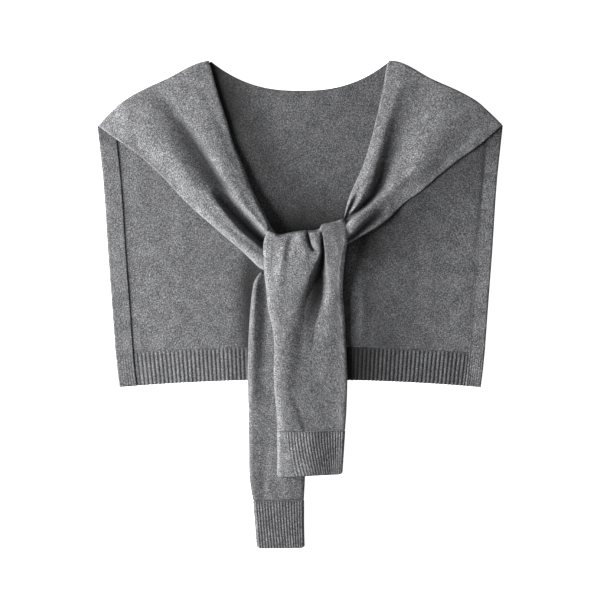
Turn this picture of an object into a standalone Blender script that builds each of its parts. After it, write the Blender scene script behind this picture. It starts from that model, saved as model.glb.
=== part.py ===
"""A knitted capelet laid flat: an open back with a rib hem, and two sleeves tied once in front.

The cloth lies on the floor plane z = 0. +Y points to the neck, +X to the right seen from above.
Tables are in millimetres, everything built from them is in metres.
"""

import bmesh
import bpy
import numpy as np

MM = 0.001

# Driving sizes
PANEL = 2.0 * MM
SLEEVE_WALL = 1.8 * MM
SEAM_GAP = 0.3 * MM
SLOT_MOST = 3.0 * MM
SLOT_LEAST = 0.5 * MM
FOLD_LIP = 0.4 * MM
START_INSET, EDGE_INSET = 7.0 * MM, 2.5 * MM
EDGE_RISE = 2.2 * MM
RIM_ROUND = 0.5 * MM

NECK_HALF, NECK_TOP, NECK_LOW, NECK_POWER = 112 * MM, 302.6 * MM, 265 * MM, 2.45
SHOULDER_INSET = 3.9 * MM
RIM_DIP, RIM_LONG = 1.0 * MM, 1.2 * MM
BAND_TOP_INSET = 14.0 * MM
BAND_STEP, BAND_SLOPE = (4 * MM, 8 * MM), (12 * MM, 28 * MM)
SLEEVE_CROWN = 0.9 * MM
PANEL_TOP_HALF = 249.5 * MM
RIB_TOP_CENTRE, RIB_TOP_SWEEP = -52.0 * MM, 8.5 * MM
HEM_CENTRE, HEM_SWEEP = -93.0 * MM, 9.5 * MM
RIB_TOP_HALF, HEM_HALF = 229 * MM, 223.5 * MM

HEM_RIBS = 90
RIB_GROOVE, RIB_CREST = 1.7 * MM, 2.6 * MM
RIB_FADE_START, RIB_FADE_END = 1 * MM, 6 * MM
BAND_LEFT, BAND_RIGHT = 22 * MM, 19 * MM
BAND_WALL, BAND_RIBS = 1.6 * MM, 7
BAND_RIB_RISE = 0.5 * MM
CUFF_RIBS = 20
CUFF_RIB_RISE = 0.7 * MM
CUFF_HEIGHT, CUFF_FOLD_SHARE = 5.6 * MM, 0.4
CUFF_ROUND_OVER, CUFF_ROUND_UNDER = 4 * MM, 2 * MM

FLOOR_LINE, HEM_LINE = -122 * MM, -104 * MM
OVER_PANEL = PANEL + SEAM_GAP
OVER_RIB = RIB_CREST + 0.5 * MM

# half width of the back and where: the two side edges are alike
SIDE = np.array([
    # y, half
    (-103, 223.5), (-82, 226.3), (-57, 228.8), (5, 233.3), (67, 238),
    (129, 241.8), (160, 244.3), (191, 247.6), (222, 251.0),
]) * MM

# shoulder line of each side, from the neck point out to the tip
SHOULDER_LEFT = [
    (-113, 302.4), (-122, 300.5), (-165, 280), (-210, 258), (-224, 248.5), (-237, 236), (-250.7, 221.5),
]
SHOULDER_RIGHT = [
    (110, 302.4), (117, 301.8), (164, 279.3), (205, 260.5), (220, 251.5), (234, 239), (250.7, 222.5),
]

# long edges of the two sleeves, from the shoulder to the knot and on under it
SLEEVE_LEFT_INNER = [
    (-113, 302.4), (-97.5, 249), (-90.5, 228), (-81.5, 197), (-70.5, 172), (-59.5, 144), (-46.5, 117.5),
    (-35.5, 96.5), (-30, 88),
]
SLEEVE_LEFT_OUTER = [
    (-250.7, 221.5), (-231, 207), (-200, 185), (-169, 156.5), (-138.5, 124), (-115, 103), (-95, 85.5),
    (-76, 69.5), (-62, 56.5), (-47, 43.5), (-38, 41),
]
SLEEVE_RIGHT_INNER = [
    (110, 302.4), (108, 297), (103.5, 272), (96.5, 239), (87, 201), (76, 167.5), (69.5, 153), (62, 136),
    (58.2, 125), (56, 114.5), (53.5, 105), (46, 97),
]
SLEEVE_RIGHT_OUTER = [
    (250.7, 222.5), (227.5, 201.5), (196, 178.5), (172, 159.5), (149.5, 140), (130, 126.5), (108.5, 105),
    (94.5, 94.7), (80.5, 86.8), (67.5, 79.7), (57, 74), (48, 69),
]

# long edges of the two tails, from the knot to the cuff seam
FRONT_LEFT = [
    (-39.3, 91.3), (-43.3, 83), (-45.6, 61), (-44.9, 45), (-42.2, 21.7), (-39, -7.5), (-33.5, -32),
    (-32, -52), (-32.5, -89), (-31, -114), (-29.2, -133), (-28, -157),
]
FRONT_RIGHT = [
    (54.3, 106), (57.9, 93.6), (58.7, 85), (56.3, 61), (53.5, 30), (53.2, 10), (55, -7.5), (57, -44.5),
    (58.8, -94), (57.2, -141), (56, -156),
]
FRONT_TOP = [(-39.3, 91.3), (-25, 87.5), (0, 90.5), (22, 92.8), (29, 99.5), (38, 102), (54.3, 106)]
REAR_LEFT = [
    (-49, 40.5), (-56, 30), (-59.4, 15), (-61.4, -4.5), (-63.5, -35), (-64.9, -94), (-64.1, -136),
    (-63.4, -180), (-62.6, -215), (-60.5, -231), (-57.9, -243),
]
REAR_RIGHT = [(8, 26), (6, 0), (4, -50), (5, -120), (6.3, -180), (6.3, -218), (5, -241.5)]
REAR_FIRST_Y, REAR_LONG = 26 * MM, 268 * MM
REAR_DROP, REAR_DROP_WIDTH = 0.10, 18 * MM

# outlines of the cuffs, left and right edge from the seam to the open end
FRONT_CUFF_LEFT = [(-28, -157.4), (-27.5, -185), (-28, -213.5)]
FRONT_CUFF_RIGHT = [(56, -156.4), (54, -187), (52.5, -210.5)]
REAR_CUFF_LEFT = [(-57.9, -243.4), (-55.6, -272), (-53.4, -302.3)]
REAR_CUFF_RIGHT = [(5, -241.9), (5, -272), (5.6, -301.5)]

# the mound that the wrap lies on: hidden layers of the knot, higher up the neck where the sleeves come in
KNOT_X, KNOT_A, KNOT_POWER = 6 * MM, 70 * MM, 4.0
KNOT_RISE = 20 * MM
MOUND_TOP, MOUND_TOP_LEFT, MOUND_TOP_RIGHT = 83 * MM, 135 * MM, 132 * MM
MOUND_LOW, MOUND_LOW_LEFT, MOUND_LOW_RIGHT = 29 * MM, 34 * MM, 62 * MM
MOUND_LEFT_FROM, MOUND_LEFT_TO = 22 * MM, 34 * MM
MOUND_RIGHT_FROM, MOUND_RIGHT_TO = 34 * MM, 46 * MM
WRAP_FROM, WRAP_TO = 60 * MM, 53 * MM
SLEEVE_LEAST = 8 * MM
REAR_START = 46 * MM
STEP_DOWN = 13 * MM
FRONT_LEAST = 4.6 * MM
CORE_Y, CORE_HALF_X, CORE_HALF_Y = 56 * MM, 34 * MM, 20 * MM

# height of each sleeve's top over the floor along it
SLEEVE_RISE = [
    # share of the way to the knot, height
    (0.0, 8.2), (0.2, 8.8), (0.45, 10.2), (0.65, 12.5), (0.82, 15.8), (0.92, 17.6), (1.0, 17.6),
]

# height of the front tail's top over the floor: four lanes from its left edge to its right edge
FRONT_RISE = [
    # y, left, mid left, mid right, right
    (106, 27, 30, 30, 27),
    (84, 27, 30.5, 31, 28),
    (62, 27.5, 31, 31, 26.5),
    (44, 25, 29.5, 28.5, 21.5),
    (24, 20, 23.5, 21, 16.5),
    (4, 16.5, 19, 16, 12.5),
    (-28, 15.8, 17.5, 12.5, 10.5),
    (-90, 15.8, 17, 11.5, 10),
    (-125, 14.5, 15, 9.5, 8),
    (-160, 13.2, 13.5, 8.5, 6.6),
]

REAR_RISE = [
    # y, height
    (45, 10.0), (10, 10.2), (-100, 9.9), (-125, 7.2), (-200, 7.0), (-244, 6.2),
]

# main folds: how high (+) or deep (-), how wide, over which share of its length it grows, and its path
FOLDS = {
    "sleeve_left": [
        # rise, width, grows over, points
        (3.0, 8.5, 0.5, [(-115, 206), (-100.6, 178.6), (-86, 152.5), (-70.7, 125), (-54, 103), (-45, 89)]),
        (-6.0, 7.0, 0.8, [
            (-184, 255), (-149, 212), (-123, 180), (-100.6, 140), (-86, 119.7), (-70.7, 103), (-46.5, 77),
        ]),
        (-3.4, 5.0, 0.6, [(-104, 123), (-90.6, 108), (-76, 96), (-62, 85), (-46, 74)]),
        (2.2, 8.0, 0.5, [(-137, 140), (-121, 119.7), (-100.6, 99.7), (-81.7, 83), (-62, 68.7), (-48, 58)]),
    ],
    "sleeve_right": [
        (-2.5, 4.5, 0.6, [(68.4, 134.5), (65, 121.5), (57, 108)]),
        (2.4, 6.0, 0.6, [(92, 175), (84, 149.5), (79, 138), (73.4, 125), (66, 112)]),
        (-6.0, 7.5, 0.8, [
            (139, 259), (126.4, 229), (113.7, 201), (104, 175.6), (96.8, 150), (88, 136), (75, 120),
            (62, 110),
        ]),
        (1.8, 9.0, 0.6, [(140, 170), (121, 148), (104, 129), (86, 113), (66, 101)]),
        (-4.2, 5.5, 0.7, [(120, 138), (109, 125), (96.8, 113.5), (87.7, 104.7), (77.6, 98), (60, 86)]),
    ],
    "front_tail": [
        (-5.0, 6.5, 0.04, [
            (26, 92), (28, 62), (28, 45), (22, 30), (17, 6), (13, -20), (4, -55), (-5, -85), (-6, -118),
        ]),
        (-2.0, 5.0, 0.4, [(10, 90), (13, 74), (21, 66)]),
        (1.6, 7.0, 0.4, [(-19.6, 70), (-24.7, 46), (-27.5, 17), (-28.3, 2)]),
        (1.5, 6.5, 0.3, [(41, 80), (42, 40), (30, 8), (22, -8), (17, -26)]),
        (-1.2, 3.5, 0.4, [(-10.5, -100), (2, -125), (6, -150)]),
    ],
    "rear_tail": [
        (-2.4, 6.0, 0.3, [(-50, 22), (-50, -20), (-51, -80), (-50, -120)]),
        (1.2, 6.0, 0.4, [(-57, 8), (-58.5, -30), (-59, -90), (-57, -130)]),
        (-1.2, 5.0, 0.5, [(-30, -150), (-40, -200), (-43, -238)]),
    ],
    "back_panel": [
        (1.1, 6.0, 0.3, [(77, 30), (77, -5), (76, -50)]),
        (0.9, 9.0, 0.3, [(-84, 40), (-80, 0), (-79, -50)]),
        (0.8, 14.0, 0.4, [(120, 60), (116, 10), (112, -45)]),
    ],
}

# where the folds of the back fade out, below and above
PANEL_FOLDS_LOW, PANEL_FOLDS_HIGH = (-50 * MM, -38 * MM), (50 * MM, 70 * MM)

# mesh of each tube: rings along it, points across one face, how far its edges and its start are rounded
TUBES = {
    # rings, across, round edge, round start
    "sleeve_left": (22, 14, 6 * MM, 9 * MM),
    "sleeve_right": (22, 14, 6 * MM, 9 * MM),
    "front_tail": (28, 15, 6 * MM, 11 * MM),
    "rear_tail": (18, 10, 4 * MM, 5 * MM),
}

CLOTH = {
    # colour, roughness
    "back_panel": ((0.165, 0.165, 0.170), 0.95),
    "hem_rib": ((0.155, 0.155, 0.160), 0.95),
    "side_band_left": ((0.175, 0.175, 0.180), 0.95),
    "side_band_right": ((0.175, 0.175, 0.180), 0.95),
    "sleeve_left": ((0.200, 0.200, 0.205), 0.95),
    "sleeve_right": ((0.195, 0.195, 0.200), 0.95),
    "knot_core": ((0.150, 0.150, 0.155), 0.95),
    "front_tail": ((0.200, 0.200, 0.205), 0.95),
    "rear_tail": ((0.190, 0.190, 0.195), 0.95),
    "cuff_front": ((0.180, 0.180, 0.185), 0.95),
    "cuff_rear": ((0.180, 0.180, 0.185), 0.95),
}


def ease(low, high, x):
    """0 below low, 1 above high, smooth between."""
    u = np.clip((x - low) / (high - low), 0, 1)
    return u * u * (3 - 2 * u)


def spline(points, scale=MM):
    """A function of the share of the length, along a centripetal-like curve through the points."""
    p = np.array(points, float) * scale
    length = np.concatenate([[0], np.cumsum(np.linalg.norm(np.diff(p, axis=0), axis=1))])
    slope = np.gradient(p, length, axis=0)

    def at(share):
        d = np.clip(np.asarray(share, float), 0, 1) * length[-1]
        i = np.clip(np.searchsorted(length, d, side="right") - 1, 0, len(p) - 2)
        h = (length[i + 1] - length[i])[..., None]
        u = (d - length[i])[..., None] / h
        return (
            (1 + 2 * u) * (1 - u) ** 2 * p[i]
            + u * (1 - u) ** 2 * h * slope[i]
            + u**2 * (3 - 2 * u) * p[i + 1]
            - u**2 * (1 - u) * h * slope[i + 1]
        )

    at.length = length[-1]
    return at


def table(rows, scale=MM):
    """Columns after the first as smooth functions of the first column."""
    rows = np.array(rows, float) * scale
    rows = rows[np.argsort(rows[:, 0])]
    slope = np.gradient(rows[:, 1:], rows[:, 0], axis=0)

    def at(x):
        x = np.clip(np.asarray(x, float), rows[0, 0], rows[-1, 0])
        i = np.clip(np.searchsorted(rows[:, 0], x, side="right") - 1, 0, len(rows) - 2)
        h = rows[i + 1, 0] - rows[i, 0]
        u = ((x - rows[i, 0]) / h)[..., None]
        h = h[..., None]
        return (
            (1 + 2 * u) * (1 - u) ** 2 * rows[i, 1:]
            + u * (1 - u) ** 2 * h * slope[i]
            + u**2 * (3 - 2 * u) * rows[i + 1, 1:]
            - u**2 * (1 - u) * h * slope[i + 1]
        )

    return at


def half_width(y):
    return np.interp(y, SIDE[:, 0], SIDE[:, 1])


def hem_seam(x):
    return RIB_TOP_CENTRE - RIB_TOP_SWEEP * (x / RIB_TOP_HALF) ** 2


def hem_edge(x):
    return HEM_CENTRE - HEM_SWEEP * (x / HEM_HALF) ** 2


def neckline(x):
    return NECK_LOW + (NECK_TOP - NECK_LOW) * np.abs(x / NECK_HALF) ** NECK_POWER


def shoulder_line(x):
    """The fold at the top of the sleeves: the outline from each neck point to the tip."""
    left = np.array(SHOULDER_LEFT)[::-1] * MM
    right = np.array(SHOULDER_RIGHT) * MM
    return np.where(x < 0, np.interp(x, left[:, 0], left[:, 1]), np.interp(x, right[:, 0], right[:, 1]))


def panel_top_edge(x):
    """Upper edge of the back: the neckline, then the shoulder lines, inset under the sleeves."""
    steep = ease(0.88, 0.97, np.abs(x) / PANEL_TOP_HALF)
    return np.minimum(shoulder_line(x) - SHOULDER_INSET * (1 + 0.6 * steep), neckline(x))


def near_path(x, y, points, grows_over):
    """Distance to the path, and how far the fold has grown where it is nearest."""
    p = np.array(points, float) * MM
    length = np.concatenate([[0], np.cumsum(np.linalg.norm(np.diff(p, axis=0), axis=1))])
    best = np.full(np.shape(x), np.inf)
    share = np.zeros(np.shape(x))
    for a, b, start in zip(p[:-1], p[1:], length):
        along = b - a
        u = np.clip(((x - a[0]) * along[0] + (y - a[1]) * along[1]) / (along @ along), 0, 1)
        d = np.hypot(x - a[0] - u * along[0], y - a[1] - u * along[1])
        nearer = d < best
        best = np.where(nearer, d, best)
        share = np.where(nearer, (start + u * np.linalg.norm(along)) / length[-1], share)
    return best, ease(-0.02, grows_over, share)


def folds(name, x, y):
    """Height that the main folds of a piece add to its top."""
    z = np.zeros(np.shape(x))
    for rise, width, grows_over, points in FOLDS[name]:
        distance, grown = near_path(x, y, points, grows_over)
        z = z + rise * MM * grown * np.exp(-((distance / (width * MM)) ** 2))
    return z


def panel_top(x, y):
    fade = ease(*PANEL_FOLDS_LOW, y) * (1 - ease(*PANEL_FOLDS_HIGH, y))
    return PANEL + folds("back_panel", x, y) * fade


def knot_mound(x, y):
    """Top of the hidden layers of the knot, and of the sleeve ends under the wrap."""
    to_left = ease(MOUND_LEFT_FROM, MOUND_LEFT_TO, -x)
    to_right = ease(MOUND_RIGHT_FROM, MOUND_RIGHT_TO, x)
    upper = MOUND_TOP + (MOUND_TOP_LEFT - MOUND_TOP) * to_left + (MOUND_TOP_RIGHT - MOUND_TOP) * to_right
    lower = MOUND_LOW + (MOUND_LOW_LEFT - MOUND_LOW) * to_left + (MOUND_LOW_RIGHT - MOUND_LOW) * to_right
    across = np.abs((x - KNOT_X) / KNOT_A) ** KNOT_POWER
    along = np.abs((2 * y - upper - lower) / (upper - lower)) ** KNOT_POWER
    dome = OVER_PANEL + KNOT_RISE * np.sqrt(np.clip(1 - across - along, 0, 1))
    return np.where(across + along < 1, dome, 0)


def ground(y):
    """What a tail lies on: the panel, the rib's crests, then the floor beyond the hem."""
    on_rib = OVER_PANEL + (OVER_RIB - OVER_PANEL) * ease(40 * MM, 48 * MM, -y)
    return on_rib * (1 - ease(-HEM_LINE, -FLOOR_LINE, -y))


def rear_right(y):
    return REAR_RIGHT_EDGE(np.clip((REAR_FIRST_Y - y) / REAR_LONG, 0, 1))[..., 0]


def rear_top(x, y):
    crown = 1 - REAR_DROP * ease(-REAR_DROP_WIDTH, 0, x - rear_right(y))
    return REAR_HEIGHT(y)[..., 0] * crown + folds("rear_tail", x, y)


REAR_HEIGHT = table(REAR_RISE)
FRONT_HEIGHT = table(FRONT_RISE)
REAR_RIGHT_EDGE = spline(REAR_RIGHT)


def front_bottom(x, y):
    """Underside of the front tail: over the mound and the rear tail, down to the panel on the right."""
    over_rear = np.where(y < REAR_START, REAR_HEIGHT(y)[..., 0] + 2 * SEAM_GAP, 0)
    beside = ease(0, STEP_DOWN, x - rear_right(y) - MM)
    low = ground(y)
    on_rear = low + np.clip(over_rear - low, 0, None) * (1 - beside)
    mound = knot_mound(x, y)
    return np.maximum(on_rear, np.where(mound > 0, mound + 2 * SEAM_GAP, 0))


def patch(start, end, first, last):
    """Plan of a piece between four edges: start and end run across it, first and last along it."""

    def at(s, t):
        s = np.asarray(s, float)[..., None]
        t = np.asarray(t, float)[..., None]
        corners = (
            (1 - s) * ((1 - t) * start(0.0) + t * start(1.0))
            + s * ((1 - t) * end(0.0) + t * end(1.0))
        )
        return (
            (1 - s) * start(t[..., 0])
            + s * end(t[..., 0])
            + (1 - t) * first(s[..., 0])
            + t * last(s[..., 0])
            - corners
        )

    return at


def line(a, b):
    a, b = np.array(a, float), np.array(b, float)
    return lambda t: a + (b - a) * np.asarray(t, float)[..., None]


def bulge(distance, radius):
    """Quarter round: 0 at an edge, 1 at the radius and beyond."""
    u = 1 - np.clip(distance / radius, 0, 1)
    return np.sqrt(1 - u * u)


def new_object(name, shape):
    """A named object with its own cloth material, from a finished bmesh."""
    bmesh.ops.recalc_face_normals(shape, faces=shape.faces)
    mesh = bpy.data.meshes.new(name)
    shape.to_mesh(mesh)
    shape.free()
    colour, roughness = CLOTH[name]
    material = bpy.data.materials.new(name + "_cloth")
    material.use_nodes = True
    surface = material.node_tree.nodes["Principled BSDF"]
    surface.inputs["Base Color"].default_value = (*colour, 1)
    surface.inputs["Roughness"].default_value = roughness
    surface.inputs["Metallic"].default_value = 0
    mesh.materials.append(material)
    mesh.shade_smooth()
    item = bpy.data.objects.new(name, mesh)
    bpy.context.scene.collection.objects.link(item)
    return item


def tube(name, rings, inner_rings, open_start):
    """A wall between two stacks of closed rings, joined at the open end. The start is open or capped."""
    shape = bmesh.new()

    def stack(all_rings):
        loops = [[shape.verts.new(point) for point in ring] for ring in all_rings]
        for low, high in zip(loops[:-1], loops[1:]):
            for i in range(len(low)):
                j = (i + 1) % len(low)
                shape.faces.new((low[i], low[j], high[j], high[i]))
        return loops[0], loops[-1]

    def cap(loop):
        half = len(loop) // 2
        for i in range(half - 1):
            shape.faces.new((loop[i], loop[i + 1], loop[-2 - i], loop[-1 - i]))

    def annulus(loop, inside):
        for i in range(len(loop)):
            j = (i + 1) % len(loop)
            shape.faces.new((loop[i], loop[j], inside[j], inside[i]))

    (outer_start, outer_end), (inner_start, inner_end) = stack(rings), stack(inner_rings)
    annulus(outer_end, inner_end)
    if open_start:
        annulus(outer_start, inner_start)
    else:
        cap(outer_start)
        cap(inner_start)
    return new_object(name, shape)


def laid_tube(name, plan, top, bottom, length):
    """A flattened tube of cloth, closed where it starts and open at its end.

    plan(s, t) gives its place, top and bottom its heights at (s, t, x, y).
    """
    stations, across, round_edge, round_start = TUBES[name]

    def width(s):
        return np.linalg.norm(plan(s, 0.0) - plan(s, 1.0))

    def ring(s, t):
        x, y = plan(np.full(len(t), s), t).T
        low = bottom(s, t, x, y)
        high = top(s, t, x, y)
        edge = low + np.minimum(EDGE_RISE, 0.4 * (high - low))
        to_edge = np.minimum(t, 1 - t) * width(s)
        rounded = bulge(to_edge, round_edge) * bulge(s * length(t), round_start)
        z_top = edge + FOLD_LIP + (high - edge - FOLD_LIP) * rounded
        under = bulge(to_edge, 0.5 * round_edge) * bulge(s * length(t), 0.4 * round_start)
        z_bottom = edge - FOLD_LIP - (edge - FOLD_LIP - low) * under
        return x, y, z_top, np.maximum(z_bottom, 0)

    t_outer = 0.5 - 0.5 * np.cos(np.linspace(0, np.pi, across))
    s_outer = np.concatenate([[0, 0.15, 0.5], np.arange(1, stations)]) / (stations - 1)
    outer, tops, bottoms = [], [], []
    for s in s_outer:
        x, y, z_top, z_bottom = ring(s, t_outer)
        outer.append(list(zip(x, y, z_top)) + list(zip(x[::-1], y[::-1], z_bottom[::-1])))
        tops.append(z_top)
        bottoms.append(z_bottom)

    def facet_height(rings, s, t):
        row = [np.interp(s, s_outer, lane) for lane in np.array(rings).T]
        return np.interp(t, t_outer, row)

    inner = []
    start = START_INSET / np.mean(length(t_outer))
    for s in np.concatenate([[start], s_outer[s_outer > start + 0.01]]):
        inset = EDGE_INSET / width(s)
        t_inner = inset + (1 - 2 * inset) * t_outer
        x, y = plan(np.full(across, s), t_inner).T
        # the inner wall hangs from the outer wall's flat faces, so its thickness holds on steep stretches
        z_top, z_bottom = facet_height(tops, s, t_inner), facet_height(bottoms, s, t_inner)
        thick = np.minimum(SLEEVE_WALL, (z_top - z_bottom - SLOT_LEAST) / 2)
        high = z_top - thick
        low = np.maximum(z_bottom + thick, high - SLOT_MOST)
        inner.append(list(zip(x, y, high)) + list(zip(x[::-1], y[::-1], low[::-1])))
    return tube(name, outer, inner, False)


def sheet(name, plan, top, floor, columns, rows):
    """A flat-bottomed wall: a grid at the floor's height whose top points are raised, closed all round."""
    shape = bmesh.new()
    steps = {"x_segments": len(columns) - 1, "y_segments": len(rows) - 1}
    grid = bmesh.ops.create_grid(shape, size=0.5, **steps)["verts"]
    for vert in grid:
        u = columns[round((vert.co.x + 0.5) * (len(columns) - 1))]
        v = rows[round((vert.co.y + 0.5) * (len(rows) - 1))]
        vert.co = (*plan(u, v), 0.0)
    rim = [edge for edge in shape.edges if edge.is_boundary]
    sides = bmesh.ops.extrude_edge_only(shape, edges=rim)["geom"]
    lower = [edge for edge in sides if isinstance(edge, bmesh.types.BMEdge) and edge.is_boundary]
    x, y = (np.array([vert.co[k] for vert in grid]) for k in (0, 1))
    for vert, z in zip(grid, top(x, y)):
        vert.co.z = z
    for item in sides:
        if isinstance(item, bmesh.types.BMVert):
            item.co.z = floor
    bmesh.ops.contextual_create(shape, geom=lower)
    return new_object(name, shape)


def back_panel():
    columns = np.concatenate([
        np.linspace(-1, -0.46, 10), np.linspace(-0.41, 0.41, 17), np.linspace(0.46, 1, 10),
    ])
    rows = np.linspace(0, 1, 13)

    def plan(u, v):
        x_low, x_high = u * RIB_TOP_HALF, u * PANEL_TOP_HALF
        y_low, y_high = hem_seam(x_low) + SEAM_GAP, panel_top_edge(x_high)
        y = y_low + (y_high - y_low) * v
        straight = RIB_TOP_HALF + (PANEL_TOP_HALF - RIB_TOP_HALF) * v
        # the sides follow the outline, the middle stays straight
        return u * (straight + (half_width(y) - straight) * abs(u) ** 3), y

    def heights(x, y):
        return panel_top(x, y)

    return sheet("back_panel", plan, heights, 0.0, columns, rows)


def hem_rib():
    steps = HEM_RIBS * 2
    columns = np.linspace(-1, 1, steps + 1)
    rows = np.array([0, 0.05, 1])

    def plan(u, v):
        x_top, x_low = u * RIB_TOP_HALF, u * HEM_HALF
        y_top, y_low = hem_seam(x_top) - SEAM_GAP / 2, hem_edge(x_low)
        return x_low + (x_top - x_low) * v, y_low + (y_top - y_low) * v

    def heights(x, y):
        v = (y - hem_edge(x)) / (hem_seam(x) - hem_edge(x))
        u = x / (HEM_HALF + (RIB_TOP_HALF - HEM_HALF) * v)
        wave = 0.5 - 0.5 * np.cos(np.pi * np.round((u + 1) / 2 * steps))
        from_band = half_width(y) - np.abs(x) - np.where(x < 0, BAND_LEFT, BAND_RIGHT)
        free = ease(RIB_FADE_START, RIB_FADE_END, from_band)
        crest = RIB_GROOVE + (RIB_CREST - RIB_GROOVE) * wave
        edge = RIM_ROUND * (1 - bulge(v, 0.04))
        return PANEL + (crest - PANEL) * free - edge

    return sheet("hem_rib", plan, heights, 0.0, columns, rows)


def side_band(name, side, width):
    """A turned-in edge: the panel's own side points, moved up by its wall and the gap."""
    columns = np.linspace(0, 1, 2 * BAND_RIBS + 1)
    rows = np.concatenate([[0, 0.01], np.linspace(0.02, 0.13, 3), np.linspace(0.14, 0.98, 9), [1]])

    def plan(u, v):
        inset = u * width
        high = shoulder_line(np.array(side * (PANEL_TOP_HALF - inset))) - BAND_TOP_INSET
        low = hem_edge(HEM_HALF - inset)
        y = low + (high - low) * v
        return side * (half_width(y) - inset), y

    def heights(x, y):
        inset = half_width(y) - np.abs(x)
        wave = 0.5 - 0.5 * np.cos(2 * np.pi * BAND_RIBS * inset / width)
        ribbed = 1 - ease(-3 * MM, MM, y - hem_seam(x))
        round_off = RIM_ROUND * (1 - bulge(np.minimum(inset, width - inset), 2.4 * RIM_ROUND))
        return OVER_PANEL + BAND_WALL + BAND_RIB_RISE * wave * ribbed - round_off

    return sheet(name, plan, heights, OVER_PANEL, columns, rows)


def sleeve(name, shoulder, inner, outer, band):
    first, last = spline(inner), spline(outer)
    start = spline(shoulder)
    knot_end = line(first(1.0), last(1.0))
    plan = patch(start, knot_end, first, last)
    rise = table([(1000 * s, h) for s, h in SLEEVE_RISE])

    def length(t):
        return first.length + (last.length - first.length) * t

    def bottom(s, t, x, y):
        below_shoulder = shoulder_line(x) - y
        on_panel = OVER_PANEL - RIM_DIP * (1 - np.clip(below_shoulder / RIM_LONG, 0, 1))
        over_band = (BAND_WALL + SEAM_GAP) * ease(*BAND_STEP, below_shoulder)
        from_band = half_width(y) - np.abs(x) - band
        return on_panel + over_band * (1 - ease(*BAND_SLOPE, from_band))

    def top(s, t, x, y):
        high = rise(s)[..., 0] + SLEEVE_CROWN * np.sin(np.pi * t)
        high = high + folds(name, x, y) + 0.4 * bottom(s, t, x, y)
        near_wrap = 1 - ease(WRAP_TO, WRAP_FROM, np.abs(x - KNOT_X))
        capped = np.minimum(high, np.maximum(knot_mound(x, y) - SEAM_GAP, SLEEVE_LEAST))
        return high + (capped - high) * near_wrap

    return laid_tube(name, plan, top, bottom, length)


def knot_core():
    """The layers inside the knot, as one rounded solid."""
    shape = bmesh.new()
    bmesh.ops.create_uvsphere(shape, u_segments=20, v_segments=8, radius=1.0)
    for vert in shape.verts:
        x = KNOT_X + CORE_HALF_X * vert.co.x
        y = CORE_Y + CORE_HALF_Y * vert.co.y
        full = float(knot_mound(x, y)) - SEAM_GAP
        vert.co = (x, y, OVER_PANEL + (full - OVER_PANEL) * (0.5 + 0.5 * vert.co.z))
    return new_object("knot_core", shape)


def front_tail():
    first, last = spline(FRONT_LEFT), spline(FRONT_RIGHT)
    plan = patch(spline(FRONT_TOP), line(first(1.0), last(1.0)), first, last)

    def length(t):
        return first.length + (last.length - first.length) * t

    def bottom(s, t, x, y):
        return front_bottom(x, y)

    def top(s, t, x, y):
        lanes = FRONT_HEIGHT(y)
        lane = np.clip(t, 0, 1) * 3
        i = np.clip(lane.astype(int), 0, 2)
        u = ease(0, 1, lane - i)
        rows = np.arange(len(lane))
        high = lanes[rows, i] * (1 - u) + lanes[rows, i + 1] * u
        return np.maximum(high + folds("front_tail", x, y), bottom(s, t, x, y) + FRONT_LEAST)

    return laid_tube("front_tail", plan, top, bottom, length)


def rear_tail():
    first, last = spline(REAR_LEFT), spline(REAR_RIGHT)
    plan = patch(line(first(0.0), last(0.0)), line(first(1.0), last(1.0)), first, last)

    def length(t):
        return first.length + (last.length - first.length) * t

    def bottom(s, t, x, y):
        return ground(y)

    def top(s, t, x, y):
        return rear_top(x, y)

    return laid_tube("rear_tail", plan, top, bottom, length)


def cuff(name, left, right, floor):
    """An open rib tube: ribs over the top and round the edges, plain where it rests."""
    first, last = spline(left), spline(right)
    plan = patch(line(first(0.0), last(0.0)), line(first(1.0), last(1.0)), first, last)
    steps = 2 * CUFF_RIBS
    t_ring = 0.5 - 0.5 * np.cos(np.linspace(0, np.pi, steps + 1))
    t_ring = 0.6 * np.linspace(0, 1, steps + 1) + 0.4 * t_ring
    wave = np.arange(steps + 1) % 2

    def ring(s, inset, lift):
        t = inset + (1 - 2 * inset) * t_ring
        x, y = plan(np.full(len(t), s), t).T
        low = floor(x, y)
        to_edge = np.minimum(t, 1 - t) * np.linalg.norm(plan(s, 0.0) - plan(s, 1.0))
        under = CUFF_FOLD_SHARE * CUFF_HEIGHT - FOLD_LIP
        over = (1 - CUFF_FOLD_SHARE) * CUFF_HEIGHT - FOLD_LIP
        z_top = low + under + 2 * FOLD_LIP + over * bulge(to_edge, CUFF_ROUND_OVER) + lift * wave
        z_bottom = low + under * (1 - bulge(to_edge, CUFF_ROUND_UNDER))
        return x, y, z_top, z_bottom

    def loop(x, y, z_top, z_bottom):
        return list(zip(x, y, z_top)) + list(zip(x[::-1], y[::-1], z_bottom[::-1]))

    outer, inner = [], []
    for s, lift in ((0, 0.3), (0.04, 1), (1, 1)):
        outer.append(loop(*ring(s, 0, lift * CUFF_RIB_RISE)))
    for s in (0, 1):
        x, y, z_top, z_bottom = ring(s, EDGE_INSET / first.length, 0)
        high = z_top - SLEEVE_WALL
        low = np.minimum(z_bottom + SLEEVE_WALL, high - SLOT_LEAST)
        inner.append(loop(x, y, high, low))
    return tube(name, outer, inner, True)


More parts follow.
